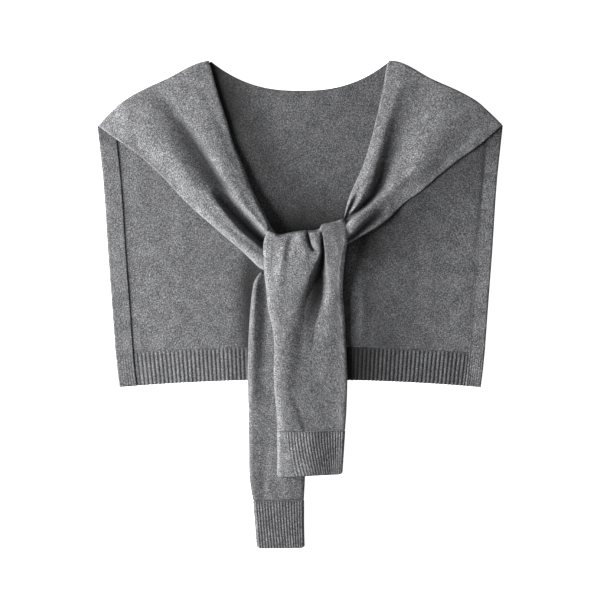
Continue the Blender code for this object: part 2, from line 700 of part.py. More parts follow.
def build():
    for item in list(bpy.data.objects):
        bpy.data.objects.remove(item, do_unlink=True)
    back_panel()
    hem_rib()
    side_band("side_band_left", -1, BAND_LEFT)
    side_band("side_band_right", 1, BAND_RIGHT)
    sleeve("sleeve_left", SHOULDER_LEFT, SLEEVE_LEFT_INNER, SLEEVE_LEFT_OUTER, BAND_LEFT)
    sleeve("sleeve_right", SHOULDER_RIGHT, SLEEVE_RIGHT_INNER, SLEEVE_RIGHT_OUTER, BAND_RIGHT)
    knot_core()
    rear_tail()
    front_tail()
    cuff("cuff_front", FRONT_CUFF_LEFT, FRONT_CUFF_RIGHT, front_bottom)
    cuff("cuff_rear", REAR_CUFF_LEFT, REAR_CUFF_RIGHT, lambda x, y: np.zeros_like(x))


build()
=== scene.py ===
"""A heather grey fine-knit capelet laid flat, with its two sleeves tied in front.

Every piece is a grid of knit that is moved to the garment's form. Outlines are in millimetres on the
floor plane, +Y towards the neck. Creases are in pixels of the photograph, whose scale is PIXEL.
"""

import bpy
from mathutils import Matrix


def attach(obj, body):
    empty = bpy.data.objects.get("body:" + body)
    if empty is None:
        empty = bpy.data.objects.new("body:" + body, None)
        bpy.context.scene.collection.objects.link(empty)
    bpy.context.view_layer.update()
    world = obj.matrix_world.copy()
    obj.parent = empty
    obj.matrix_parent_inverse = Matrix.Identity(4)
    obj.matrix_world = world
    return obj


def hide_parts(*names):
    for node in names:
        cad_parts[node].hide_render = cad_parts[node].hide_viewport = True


bl_info = {
    "name": "Knotted Knit Capelet",
    "version": (1, 0, 0),
    "blender": (4, 5, 0),
    "location": "3D View > Sidebar > Capelet",
    "description": "Builds a fine-knit capelet with tied sleeves, laid flat",
    "category": "Mesh",
}

import bmesh
import bpy
import numpy as np
from bpy.props import FloatProperty, FloatVectorProperty, PointerProperty
from mathutils import Vector

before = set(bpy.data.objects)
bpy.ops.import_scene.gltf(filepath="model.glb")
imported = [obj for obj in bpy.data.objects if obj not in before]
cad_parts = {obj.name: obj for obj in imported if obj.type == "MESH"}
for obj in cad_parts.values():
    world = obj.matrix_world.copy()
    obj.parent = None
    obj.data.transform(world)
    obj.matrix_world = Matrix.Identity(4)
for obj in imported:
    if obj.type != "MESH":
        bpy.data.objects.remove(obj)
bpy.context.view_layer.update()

MM = 0.001
PIXEL = 1.24 * MM
PHOTO_ZERO = (299.5, 304.0)
PHOTO_CENTRE = (299.5, 299.5)
PHOTO_SIZE = 600

# Sizes shared with the solids
PANEL = 2.0 * MM
SEAM_GAP = 0.3 * MM
OVER_PANEL = PANEL + SEAM_GAP
NECK_HALF, NECK_TOP, NECK_LOW, NECK_POWER = 112 * MM, 302.6 * MM, 265 * MM, 2.45
SHOULDER_INSET, PANEL_TOP_HALF = 3.9 * MM, 249.5 * MM
RIB_TOP_CENTRE, RIB_TOP_SWEEP, RIB_TOP_HALF = -52.0 * MM, 8.5 * MM, 229 * MM
HEM_CENTRE, HEM_SWEEP, HEM_HALF = -93.0 * MM, 9.5 * MM, 223.5 * MM
HEM_RIBS, BAND_RIBS = 90, 7
BAND_LEFT, BAND_RIGHT, BAND_WALL = 22 * MM, 19 * MM, 1.6 * MM
RIB_CREST = 2.6 * MM
OVER_RIB = RIB_CREST + 0.5 * MM
CUFF_HEIGHT = 5.6 * MM
EDGE_RISE = 2.2 * MM
FLOOR_LINE, HEM_LINE = -122 * MM, -104 * MM
KNOT_X, KNOT_A, KNOT_POWER, KNOT_RISE = 6 * MM, 70 * MM, 4.0, 20 * MM
MOUND_TOP, MOUND_TOP_LEFT, MOUND_TOP_RIGHT = 83 * MM, 135 * MM, 132 * MM
MOUND_LOW, MOUND_LOW_LEFT, MOUND_LOW_RIGHT = 29 * MM, 34 * MM, 62 * MM
REAR_START = 46 * MM

# Ribs across the top of each cuff, as counted, and how far they lean sideways at its end, in ribs
FRONT_CUFF_RIBS, REAR_CUFF_RIBS = (24, -3.2), (18, -0.6)
CUFF_RIB, CUFF_PLAIN, CUFF_BOW = 0.65 * MM, 0.3 * MM, 3.6 * MM
BAND_RIB = 0.25 * MM
# Between the sleeves' ends the wrap comes down to the panel: ranges of x, of -x and of y
GAP_LEFT, GAP_RIGHT, GAP_LOW = (-31 * MM, -28 * MM), (-52 * MM, -42 * MM), (78 * MM, 83 * MM)
# Nearer to the knot's middle than this range, the sleeves stay under the wrap
UNDER_WRAP = (42 * MM, 47 * MM)
# Share of its height that a sleeve loses at its inner and outer edge
THIN_LEFT, THIN_RIGHT = (0.18, 0.4), (0.45, 0.68)
LEAST_SLEEVE, LEAST_FRONT, FLOOR_GAP, WELD = 3 * MM, 2.4 * MM, 0.1 * MM, 0.01 * MM

# Columns and rows of each grid of knit, and the walls that are fixed
PANEL_GRID, HEM_GRID, BAND_GRID = (200, 130), (HEM_RIBS * 10, 16), (90, 180)
SLEEVE_GRID, FRONT_GRID, REAR_GRID, CUFF_GRID = (230, 170), (210, 226), (120, 180), (410, 30)
PANEL_SHELL, HEM_SHELL, BAND_SHELL, CUFF_SHELL = 1.3 * MM, 0.8 * MM, 0.9 * MM, 1.2 * MM

# The first column is each finish's lightness. Besides the yarn's tone and the knit's face and reverse, it
# holds painted shade and painted light: the same rib of the same yarn is 0.84 on the hem and 1.29 on the
# cuffs.
FINISHES = {
    # brightness, fleck, streak, relief, purl
    "Knit_Face": (1.42, 1.0, 0.9, 0.6, False),
    "Knit_Reverse": (0.88, 1.1, 0.4, 0.6, True),
    "Knit_Band": (1.34, 1.1, 0.3, 0.6, False),
    "Rib_Hem": (0.84, 0.9, 0.5, 0.5, False),
    "Rib_Cuff": (1.29, 0.9, 0.5, 0.5, False),
}
LEG_SLANT, PURL_SLANT, BUMP_HEIGHT = 1.5, 0.35, 0.5 * MM
WANDER_SCALE, WANDER = 160.0, (0.0006, 0.0006, 0)
FIBRE_SCALE, STREAK_SCALE, CLOUD_SCALE = (560.0, 700.0, 1.0), (170.0, 1250.0, 1.0), 55.0
STITCH_SHARE, FIBRE_SHARE, CLOUD_SHARE, EYE_POWER = 0.5, 1.25, 0.5, 1.8

KEY_PLACE, KEY_TARGET, KEY_SIZE = (-1.00, -0.12, 0.50), (0.0, 0.05, 0.0), (0.60, 0.80)
FLOOR_HALF, FLOOR_WHITE, FLOOR_GLOW, SENSOR = 4, 0.9, 0.95, 36.0

SIDE = [
    # y, half width
    (-103, 223.5), (-82, 226.3), (-57, 228.8), (5, 233.3), (67, 238),
    (129, 241.8), (160, 244.3), (191, 247.6), (222, 251.0),
]
SHOULDER_LEFT = [
    (-113, 302.4), (-122, 300.5), (-165, 280), (-210, 258), (-224, 248.5), (-237, 236), (-250.7, 221.5),
]
SHOULDER_RIGHT = [
    (110, 302.4), (117, 301.8), (164, 279.3), (205, 260.5), (220, 251.5), (234, 239), (250.7, 222.5),
]
SLEEVE_LEFT_INNER = [
    (-113, 302.4), (-97.5, 249), (-90.5, 228), (-81.5, 197), (-70.5, 172), (-59.5, 144), (-46.5, 117.5),
    (-35.5, 96.5), (-30, 88),
]
SLEEVE_LEFT_OUTER = [
    (-250.7, 221.5), (-231, 207), (-200, 185), (-169, 156.5), (-138.5, 124), (-115, 103), (-95, 85.5),
    (-76, 69.5), (-62, 56.5), (-47, 43.5), (-38, 41),
]
SLEEVE_RIGHT_INNER = [
    (110, 302.4), (108, 297), (103.5, 272), (96.5, 239), (87, 201), (76, 167.5), (69.5, 153), (62, 136),
    (58.2, 125), (56, 114.5), (53.5, 105), (46, 97),
]
SLEEVE_RIGHT_OUTER = [
    (250.7, 222.5), (227.5, 201.5), (196, 178.5), (172, 159.5), (149.5, 140), (130, 126.5), (108.5, 105),
    (94.5, 94.7), (80.5, 86.8), (67.5, 79.7), (57, 74), (48, 69),
]
FRONT_LEFT = [
    (-39.3, 91.3), (-43.3, 83), (-45.6, 61), (-44.9, 45), (-42.2, 21.7), (-39, -7.5), (-33.5, -32),
    (-32, -52), (-32.5, -89), (-31, -114), (-29.2, -133), (-28, -157),
]
FRONT_RIGHT = [
    (54.3, 106), (57.9, 93.6), (58.7, 85), (56.3, 61), (53.5, 30), (53.2, 10), (55, -7.5), (57, -44.5),
    (58.8, -94), (57.2, -141), (56, -156),
]
FRONT_TOP = [
    (-39.3, 91.3), (-25, 87.3), (-11, 89.6), (6, 92), (21, 93), (24.2, 94.5), (26, 98), (38, 102),
    (54.3, 106),
]
REAR_LEFT = [
    (-49, 40.5), (-56, 30), (-59.4, 15), (-61.4, -4.5), (-63.5, -35), (-64.9, -94), (-64.1, -136),
    (-63.4, -180), (-62.6, -215), (-60.5, -231), (-57.9, -243),
]
REAR_RIGHT = [(8, 26), (6, 0), (4, -50), (5, -120), (6.3, -180), (6.3, -218), (5, -241.5)]
REAR_FIRST_Y, REAR_LONG = 26 * MM, 268 * MM
FRONT_CUFF_LEFT = [(-28, -157.3), (-27.5, -185), (-28, -213.5)]
FRONT_CUFF_RIGHT = [(56, -156.3), (54, -187), (52.5, -210.5)]
# The plain corner of the front cuff ends on this slanted line: metres down from zero, and x there
FRONT_PLAIN = ((158 * MM, 212 * MM), (-18 * MM, -6 * MM))
NO_PLAIN = ((0, 1), (-1, -1))
REAR_CUFF_LEFT = [(-57.9, -243.3), (-55.6, -272), (-53.4, -302.3)]
REAR_CUFF_RIGHT = [(5, -241.8), (5, -272), (5.6, -301.5)]

SLEEVE_RISE = [
    # share of the way to the knot, height
    (0.0, 8.2), (0.2, 8.8), (0.45, 10.4), (0.65, 13.0), (0.82, 17.0), (0.92, 20.5), (1.0, 22.5),
]
FRONT_RISE = [
    # y, left, mid left, mid right, right
    (106, 27, 30, 29.5, 25),
    (84, 27, 30.5, 30.5, 26),
    (62, 27.5, 31, 30.5, 25.5),
    (44, 25, 29.5, 28.5, 21.5),
    (24, 20, 23.5, 21, 16.5),
    (4, 16.5, 19, 16, 12.5),
    (-28, 15.8, 17.5, 12.5, 10.5),
    (-90, 15.8, 17, 11.5, 10),
    (-125, 14.5, 15, 9.5, 8),
    (-150, 13.3, 13.5, 8.6, 6.8),
    (-160, 13.0, 13.0, 8.2, 6.2),
]
REAR_RISE = [
    # y, height
    (45, 10.0), (10, 10.2), (-100, 9.9), (-125, 7.2), (-200, 7.0), (-232, 6.3), (-244, 5.8),
]

# Each crease: how square its flanks are, then a row for each point along it.
# left and right are as one walks along it, and a negative rise is a trough.
CREASES = {
    # squareness, [(photo x, photo y, rise mm, left mm, right mm)]
    "sleeve_left": [
        (2.0, [(196, 112, 0.3, 12, 8), (206.8, 138, 1.2, 14, 8), (218.4, 160, 1.8, 13, 8),
            (230, 181, 2.4, 10, 7), (242.5, 203, 2.4, 6, 5), (256, 221, 2.0, 5, 4), (263, 232.5, 2.0, 5, 4)]),
        (2.0, [(150, 86, -1.2, 8, 18), (169, 108, -3.4, 7, 21), (188, 134, -5.8, 6, 21),
            (205, 161, -7.4, 6, 19), (219, 182, -8.0, 6, 15), (226, 197, -6.0, 6, 10),
            (234, 208, -1.5, 6, 8)]),
        (4.0, [(213, 188, 0, 5, 5), (224, 199, -5.5, 7, 7), (236, 211.5, -11, 8.6, 9.4),
            (247, 223, -14, 8.6, 9.6), (258, 234, -15, 7.6, 8.4), (270, 246, -15, 7, 7)]),
        (2.0, [(176, 172, 0.3, 8, 8), (189, 191, 1.2, 8, 7), (202, 207.5, 1.8, 7, 7),
            (218.4, 223.6, 2.4, 6, 6), (233.6, 237, 2.6, 5, 5), (249.6, 249, 2.4, 5, 5),
            (264, 258, 2.2, 5, 5)]),
        (2.0, [(120, 118, 0.5, 14, 14), (142, 140, 1.2, 14, 14), (165, 163, 0.6, 12, 12)]),
        (2.0, [(199, 84, -0.5, 7, 7), (207, 100, -0.9, 6, 6), (221, 130, -0.7, 6, 6),
            (236, 165, -0.4, 5, 5)]),
    ],
    "sleeve_right": [
        (2.0, [(360, 186, -0.2, 2.6, 3), (355, 197, -3.0, 2.6, 3), (351.5, 205, -6.0, 2.6, 3),
            (348, 212, -8.0, 2.8, 3), (343, 221, -9.0, 3, 3)]),
        (2.0, [(386, 140, 0.2, 8, 8), (374, 170, 1.2, 6, 6), (365, 188, 2.4, 4.5, 5), (360, 199, 3.0, 4, 4),
            (353, 210, 2.4, 3.4, 2.6), (346, 218, 1.6, 3, 2.6)]),
        (2.4, [(414, 84, -0.8, 16, 12), (408, 98, -2.2, 16, 11), (398, 122, -4.4, 15, 10),
            (391, 147, -6.6, 13, 8.5), (384.5, 168, -8.6, 11, 8), (379, 184, -11.5, 9, 5.6),
            (369.5, 198, -12.5, 5.6, 3.2), (359.5, 208, -13, 4.2, 2.4), (344, 220, -13, 3, 3)]),
        (2.0, [(430, 160, 0.8, 13, 13), (408, 176, 2.0, 11, 8), (391, 189, 3.0, 9, 6), (374, 203, 2.8, 7, 4),
            (357, 218, 2.4, 6, 4), (344, 228, 2.2, 5, 4)]),
        (2.4, [(388, 205, -0.3, 5, 4), (381, 211.5, -4.5, 6.5, 5), (373, 219, -8.0, 7, 5),
            (364.5, 226.5, -10, 5.5, 4.5), (356, 233.5, -10.5, 4.6, 3.6), (344, 241, -10.5, 3, 2.2)]),
        (2.0, [(404, 210, 0.6, 6, 6), (386, 221, 1.6, 5, 5), (366, 233, 2.2, 5, 5), (344, 244, 2.0, 5, 5)]),
        (2.0, [(388, 75, 0.6, 6, 6), (381, 105, 0.8, 7, 7), (372, 140, 0.6, 7, 7)]),
    ],
    "front_tail": [
        (2.8, [(321, 233, -1.0, 1.4, 1.4), (321.4, 240, -8, 1.5, 1.5), (322.4, 250, -12, 1.7, 1.9),
            (322.2, 257, -14, 2.4, 3.0), (321, 264, -16, 4.0, 4.8), (320, 272, -17, 5.6, 7.4),
            (319, 281, -16, 7.6, 9.6), (317.8, 291, -12, 8.8, 11.6), (315.5, 304, -5.5, 9, 15),
            (312, 320, -0.5, 9, 15)]),
        (2.0, [(315, 300, -1.5, 10, 14), (311.5, 314, -3.0, 11, 15), (306, 332, -3.2, 12, 16),
            (299.7, 354, -2.6, 13, 15), (295, 376, -2.0, 13, 13), (293, 396, -1.2, 12, 11),
            (297, 418, -0.5, 11, 10)]),
        (2.0, [(306.6, 227, -2.0, 1.8, 1.6), (307.7, 237, -4.2, 2.0, 1.7), (309.6, 245, -4.2, 2.2, 1.8),
            (313, 250.2, -2.6, 2.2, 1.6), (317.3, 251.4, -0.4, 2, 1.5)]),
        (2.0, [(314, 230, 1.0, 5, 4), (315.5, 240, 1.4, 5, 4), (317.5, 250, 0.8, 4, 3.5)]),
        (2.0, [(300.5, 229, 0.6, 4, 5), (301.5, 240, 1.5, 4.5, 5), (303.5, 252, 0.9, 5, 6),
            (304, 266, 0.2, 6, 6)]),
        (2.0, [(295, 229, -0.8, 4, 4), (291.5, 238, -2.0, 4, 4.5), (288.6, 249, -1.6, 4, 4),
            (286.5, 262, -0.4, 4, 4)]),
        (2.0, [(284.5, 243, 0.3, 5, 4), (282.4, 255, 1.6, 5, 4), (280, 271, 1.9, 6, 4.5),
            (278.2, 281, 1.8, 7, 5), (275.5, 303, 1.2, 8, 6), (275.5, 330, 0.5, 9, 7)]),
        (2.0, [(333, 228, 0.4, 7, 7), (335, 246, 0.8, 8, 8), (334.5, 275, 1.0, 8, 7), (331, 300, 1.4, 9, 8),
            (329, 318, 1.8, 11, 8), (328, 345, 1.5, 13, 9), (326, 380, 0.9, 14, 10)]),
        (2.0, [(331, 238, -0.1, 4, 4), (332.5, 250, -0.7, 4, 4), (333, 264, -0.1, 4, 4)]),
        (2.0, [(281, 410, 0.6, 6, 4), (283.5, 422, 0.5, 6, 3), (285.5, 434, -0.3, 6, 3)]),
        (2.0, [(291, 391, -0.3, 3, 3), (298, 408, -0.8, 3, 4), (303, 424, -0.6, 3, 4),
            (306, 436, -0.2, 3, 3)]),
    ],
    "knot_mound": [
        (2.6, [(322, 250, -3, 4, 5), (321.5, 258, -9, 6, 7), (319.5, 267, -13, 7, 9), (318, 276, -15, 8, 11),
            (317, 288, -15, 9, 12)]),
    ],
    "rear_tail": [
        (2.0, [(263, 270, -1.2, 6, 4), (262.5, 290, -3.0, 8, 5.5), (262.5, 320, -3.0, 8, 5.5),
            (262, 350, -2.4, 8, 5.5), (261, 380, -1.4, 9, 6), (263, 410, -0.6, 9, 6)]),
        (2.0, [(258, 262, 0.6, 3, 3), (255, 280, 1.2, 4, 4), (253.4, 310, 1.4, 4, 4), (253, 350, 1.2, 4.5, 4),
            (252.5, 400, 0.8, 5, 5)]),
        (2.0, [(270, 420, -0.4, 8, 8), (266, 450, -0.9, 7, 7), (264, 476, -1.1, 5, 5),
            (263.5, 496, -0.8, 4, 4)]),
        (2.0, [(290, 476, 0.3, 8, 8), (288, 488, 0.4, 9, 9), (288, 500, -0.2, 9, 9)]),
    ],
    "back_panel": [
        (2.0, [(361.5, 284, 0.3, 5, 5), (361.5, 300, 1.2, 5, 5), (361.5, 325, 1.1, 5, 5),
            (361, 350, 0.2, 5, 5)]),
        (2.0, [(371, 284, -0.3, 6, 6), (371, 305, -0.6, 6, 6), (370.5, 330, -0.6, 6, 6),
            (370, 350, -0.1, 6, 6)]),
        (2.0, [(231, 262, 0.3, 9, 12), (230, 300, 0.9, 9, 14), (231, 346, 0.3, 9, 12)]),
        (2.0, [(396, 250, 0.2, 16, 16), (394, 300, 0.8, 16, 16), (391, 346, 0.2, 14, 14)]),
        (2.0, [(300, 100, 0.1, 30, 30), (302, 140, 0.9, 30, 26), (298, 190, 0.2, 22, 22)]),
        (2.0, [(165, 220, 0.2, 22, 22), (170, 270, 0.8, 24, 20), (165, 330, 0.2, 20, 20)]),
        (2.0, [(440, 200, 0.2, 20, 20), (436, 260, 0.9, 22, 22), (441, 330, 0.2, 20, 20)]),
    ],
}

# Painted shade in the cloth's colour: deep folds and the cloth beside a high edge, where little light comes
# in.
# Rows as above, with the share of the light that is lost in place of the rise.
# A negative share is painted light and lightens the cloth.
PAINTED_SHADE_AND_LIGHT = {
    # squareness, [(photo x, photo y, share lost, left mm, right mm)]
    "sleeve_left": [
        (2.4, [(152, 86, 0.15, 9, 14), (171.5, 109, 0.55, 7, 19), (190, 135, 0.81, 6.5, 21),
            (207, 162, 0.87, 6.5, 19), (221.5, 185, 0.87, 6.5, 15), (230, 203, 0.87, 7.5, 11),
            (241, 218, 0.87, 8, 9), (255, 233, 0.87, 7.6, 8), (270, 247, 0.87, 7, 7)]),
        (2.0, [(189, 191, 0.08, 8, 7), (230, 233, 0.25, 8, 8), (262, 256, 0.35, 8, 8)]),
        (2.0, [(116, 110, -0.25, 8, 8), (133, 143, 0.3, 8, 8), (163, 178, 0.25, 7, 7),
            (190, 203, 0.1, 6, 6)]),
    ],
    "sleeve_right": [
        (2.6, [(412, 86, 0.1, 14, 12), (408, 98, 0.22, 15, 13), (398, 122, 0.38, 14, 11),
            (391.5, 147, 0.46, 11, 8), (384.5, 168, 0.6, 9.5, 7.5), (378.5, 184, 0.58, 7.4, 5.2),
            (369, 198, 0.64, 5, 3), (359.5, 208, 0.7, 4, 2.4), (344, 220, 0.75, 3, 3)]),
        (2.0, [(357, 193, 0.2, 2.6, 2.2), (354, 199, 0.65, 2.6, 2.2), (351, 205, 0.72, 2.8, 2.4),
            (347, 213, 0.75, 3, 3), (343, 221, 0.75, 3, 3)]),
        (2.4, [(388, 205, 0.1, 5, 4), (381, 211.5, 0.5, 6.5, 5), (373, 219, 0.7, 7, 5),
            (364.5, 226.5, 0.72, 5.5, 4.5), (356, 233.5, 0.7, 4.6, 3.6), (344, 241, 0.6, 3, 2.2)]),
        (2.0, [(348, 212, -0.6, 6, 4), (350, 222, -2.0, 8, 6), (350, 232, -1.8, 8, 6),
            (348, 242, -0.8, 6, 6)]),
        (2.0, [(408, 204, -0.2, 8, 5), (386, 223, -0.9, 7, 4), (367, 235, -1.3, 6, 3.4),
            (352, 242.5, -1.2, 4, 2.6)]),
        (2.0, [(438, 80, -0.2, 14, 12), (434, 105, -0.5, 16, 12), (413, 145, -0.7, 16, 7),
            (410, 183, -1.2, 14, 10), (396, 198, -1.7, 11, 9), (381, 208, -0.7, 5, 5)]),
    ],
    "front_tail": [
        (2.0, [(313, 300, 0.3, 10, 14), (307, 320, 0.42, 10, 15), (298, 350, 0.48, 14, 17),
            (293, 390, 0.34, 15, 13), (298, 424, 0.1, 12, 12)]),
        (2.0, [(317, 292, 0.5, 6, 7), (311, 306, 0.48, 6, 8), (306, 320, 0.42, 6, 8), (303, 334, 0.0, 6, 8)]),
        (2.0, [(306.3, 230.8, 0.45, 1.6, 1.4), (307.7, 237.5, 0.6, 1.8, 1.5), (309.5, 244.6, 0.68, 2.2, 1.6),
            (313, 250, 0.68, 2.2, 1.4), (317, 251.3, 0.4, 1.8, 1.2)]),
        (2.0, [(289, 386, 0.0, 4, 4), (297, 408, 0.28, 4, 5), (304, 426, 0.3, 4, 5)]),
        (2.0, [(288, 431, 0.0, 1.2, 1.2), (295, 430.8, 0.35, 1.2, 1.2), (348, 429, 0.35, 1.2, 1.2)]),
        (2.0, [(335, 236, -0.1, 8, 8), (335, 290, -0.15, 8, 8)]),
        (2.0, [(345, 224, -0.5, 3, 4), (344, 245, -0.9, 3, 4), (341.5, 265, -2.0, 3, 4.5),
            (340.5, 285, -1.7, 3, 4), (342, 305, -1.0, 3, 3), (344, 330, -0.2, 3, 3)]),
        (3.2, [(321.4, 240, 0.4, 1.5, 1.5), (322.4, 250, 0.6, 1.7, 1.9), (322.2, 257, 0.8, 2.4, 3.0),
            (321, 264, 0.87, 3.8, 4.6), (320.4, 272, 0.88, 5.0, 7.4), (319.4, 281, 0.87, 6.4, 9),
            (317.6, 291, 0.84, 7.4, 10.5), (315, 302, 0.7, 8.0, 12), (310, 318, 0.15, 9, 14)]),
        (2.0, [(325, 258, 0.2, 1.8, 1.8), (325.4, 285, 0.3, 2, 2), (322, 304, 0.2, 2.4, 2.4)]),
        (2.0, [(321, 276, 0.2, 3, 3), (319, 284, 0.55, 5, 5), (317, 291, 0.45, 5, 5), (314, 299, 0.1, 5, 5)]),
    ],
    "cuff_front": [
        (4.0, [(280.5, 428, -0.3, 5.5, 6), (285.5, 479, -0.3, 10, 11)]),
        (2.0, [(288, 432, 0.0, 1.3, 1.5), (295, 431.8, 0.35, 1.3, 1.5), (348, 430.2, 0.35, 1.3, 1.5)]),
    ],
    "cuff_rear": [
        (2.0, [(250, 501.4, 0.3, 1.2, 1.6), (306, 500, 0.3, 1.2, 1.6)]),
        (2.0, [(280, 490, 0.3, 200, 200), (280, 560, 0.3, 200, 200)]),
    ],
    "side_band_left": [
        (2.0, [(95, 124, 0.5, 15, 16), (128, 150, 0.2, 15, 12)]),
        (2.0, [(110, 100, 0.25, 200, 200), (120, 400, 0.42, 200, 200)]),
    ],
    "side_band_right": [
        (2.0, [(466, 155, 0.5, 20, 26), (505, 124, 0.6, 20, 26)]),
        (2.0, [(484.7, 138, 0.95, 2.2, 2.2), (478.9, 206, 0.9, 2, 2), (476.2, 243, 0.75, 1.8, 1.8),
            (471.6, 320, 0.62, 1.8, 1.8), (469, 354, 0.6, 1.8, 1.8), (467, 388, 0.5, 1.8, 1.8)]),
        (2.0, [(490, 200, -0.15, 200, 200), (480, 390, -0.15, 200, 200)]),
    ],
    "rear_tail": [
        (2.0, [(270, 250, 0.32, 200, 200), (280, 500, 0.25, 200, 200)]),
        (2.0, [(264, 266, 0.5, 8, 5), (263, 285, 0.66, 5.2, 3.4), (263, 310, 0.68, 4.8, 3.4),
            (262.5, 340, 0.52, 5.2, 4.4), (262, 372, 0.3, 8, 7), (263, 410, 0.1, 9, 6)]),
        (2.0, [(250, 500.2, 0.3, 1.3, 1.3), (306, 498.6, 0.3, 1.3, 1.3)]),
        (2.0, [(249, 420, 0.0, 7, 7), (250, 450, 0.3, 9, 9), (253, 505, 0.3, 9, 9)]),
    ],
    "hem_rib": [
        (2.0, [(352, 340, 0.9, 58, 60), (352, 390, 0.86, 58, 60)]),
        (2.0, [(247, 340, 0.4, 60, 16), (247, 390, 0.3, 60, 16)]),
    ],
    "back_panel": [
        (2.0, [(484.7, 138, 0.7, 1.6, 1.6), (478.9, 206, 0.6, 1.4, 1.4), (476.2, 243, 0.2, 1.2, 1.2)]),
        (2.0, [(206, 56, 0.92, 34, 60), (222, 112, 0.88, 40, 60), (240, 165, 0.45, 44, 60),
            (262, 222, 0.0, 54, 60)]),
        (2.0, [(236, 84, 0.25, 14, 12), (252, 126, 0.4, 24, 14), (269, 166, 0.55, 36, 17),
            (292, 212, 0.3, 28, 22)]),
        (2.0, [(262, 228, 0.0, 62, 60), (300, 236, 0.84, 68, 60), (345, 226, 0.6, 52, 60)]),
        (2.0, [(352, 240, 0.0, 24, 60), (352, 290, 0.05, 24, 60), (352, 352, 0.2, 44, 60)]),
        (2.0, [(352, 240, -2.4, 10, 10), (353, 262, -2.6, 11, 11), (352, 283, -0.7, 9, 9),
            (353, 303, 0.35, 8, 8), (353, 345, 0.2, 8, 8)]),
        (2.0, [(374, 276, 0.05, 22, 20), (375, 300, 0.42, 34, 12), (377, 345, 0.5, 38, 12)]),
        (2.0, [(463, 205, -0.15, 16, 24), (461, 250, -0.4, 18, 26), (457, 345, -0.4, 18, 26)]),
        (2.0, [(345, 248, 0.35, 40, 50), (400, 207, 0.35, 40, 48), (440, 173, 0.3, 40, 36),
            (484, 142, 0.3, 40, 30)]),
        (2.0, [(250, 256, 0.7, 40, 14), (248.5, 290, 0.92, 40, 14), (248, 345, 0.8, 40, 13)]),
    ],
}


class CapeletCloth(bpy.types.PropertyGroup):
    yarn_light: FloatVectorProperty(
        name="Light Fibre", description="Colour of the melange's light fibres", subtype="COLOR", size=3,
        min=0, max=1, default=(0.222, 0.222, 0.230),
    )
    yarn_dark: FloatVectorProperty(
        name="Dark Fibre", description="Colour of the melange's dark fibres", subtype="COLOR", size=3,
        min=0, max=1, default=(0.022, 0.022, 0.024),
    )
    wale: FloatProperty(
        name="Wale Width", description="Width of one column of stitches", subtype="DISTANCE", unit="LENGTH",
        default=1.6 * MM, min=0.5 * MM, max=6 * MM, precision=5,
    )
    course: FloatProperty(
        name="Course Height", description="Height of one row of stitches", subtype="DISTANCE", unit="LENGTH",
        default=1.2 * MM, min=0.4 * MM, max=5 * MM, precision=5,
    )
    wall: FloatProperty(
        name="Cloth Thickness", description="Thickness of the knit", subtype="DISTANCE", unit="LENGTH",
        default=1.3 * MM, min=0.5 * MM, max=3 * MM, precision=5,
    )
    rib_depth: FloatProperty(
        name="Rib Depth", description="How far the ribs of the hem stand over their grooves",
        subtype="DISTANCE", unit="LENGTH", default=0.9 * MM, min=0, max=3 * MM, precision=5,
    )


class CapeletStage(bpy.types.PropertyGroup):
    key_watts: FloatProperty(
        name="Key Light", description="Power of the large soft light on the left", unit="POWER",
        default=57, min=0, max=500,
    )
    fill: FloatProperty(
        name="Fill", description="Strength of the even light from all round", default=0.21, min=0, max=5,
    )
    camera_height: FloatProperty(
        name="Camera Height", description="Height of the camera over the floor", subtype="DISTANCE",
        unit="LENGTH", default=4.0, min=1, max=20,
    )


def ease(low, high, x):
    """0 below low, 1 above high, smooth between."""
    u = np.clip((x - low) / (high - low), 0, 1)
    return u * u * (3 - 2 * u)


def bulge(distance, radius, fullness=2.0):
    """Quarter round: 0 at an edge, 1 at the radius and beyond. High fullness keeps it high to the edge."""
    u = 1 - np.clip(distance / radius, 0, 1)
    return (1 - u**fullness) ** (1 / fullness)


def hermite(p, slope, i, u, h):
    """Smooth curve between rows i and i + 1 of p, a step h apart."""
    return (
        (1 + 2 * u) * (1 - u) ** 2 * p[i]
        + u * (1 - u) ** 2 * h * slope[i]
        + u**2 * (3 - 2 * u) * p[i + 1]
        - u**2 * (1 - u) * h * slope[i + 1]
    )


def spline(points):
    """A function of the share of the length, along a smooth curve through points in millimetres."""
    p = np.array(points, float) * MM
    length = np.concatenate([[0], np.cumsum(np.linalg.norm(np.diff(p, axis=0), axis=1))])
    slope = np.gradient(p, length, axis=0)

    def at(share):
        d = np.clip(np.asarray(share, float), 0, 1) * length[-1]
        i = np.clip(np.searchsorted(length, d, side="right") - 1, 0, len(p) - 2)
        h = (length[i + 1] - length[i])[..., None]
        return hermite(p, slope, i, (d - length[i])[..., None] / h, h)

    at.length = length[-1]
    return at


def table(rows):
    """Columns after the first as smooth functions of the first, all in millimetres."""
    rows = np.array(rows, float) * MM
    rows = rows[np.argsort(rows[:, 0])]
    slope = np.gradient(rows[:, 1:], rows[:, 0], axis=0)

    def at(x):
        x = np.clip(np.asarray(x, float), rows[0, 0], rows[-1, 0])
        i = np.clip(np.searchsorted(rows[:, 0], x, side="right") - 1, 0, len(rows) - 2)
        h = (rows[i + 1, 0] - rows[i, 0])[..., None]
        return hermite(rows[:, 1:], slope, i, (x - rows[i, 0])[..., None] / h, h)

    return at


def line(a, b):
    return lambda t: a + (b - a) * np.asarray(t, float)[..., None]


def patch(start, end, first, last):
    """Plan of a piece between four edges: start and end run across it, first and last along it."""

    def at(s, t):
        s3, t3 = s[..., None], t[..., None]
        corners = (
            (1 - s3) * ((1 - t3) * start(0.0) + t3 * start(1.0)) + s3 * ((1 - t3) * end(0.0) + t3 * end(1.0))
        )
        return (1 - s3) * start(t) + s3 * end(t) + (1 - t3) * first(s) + t3 * last(s) - corners

    return at


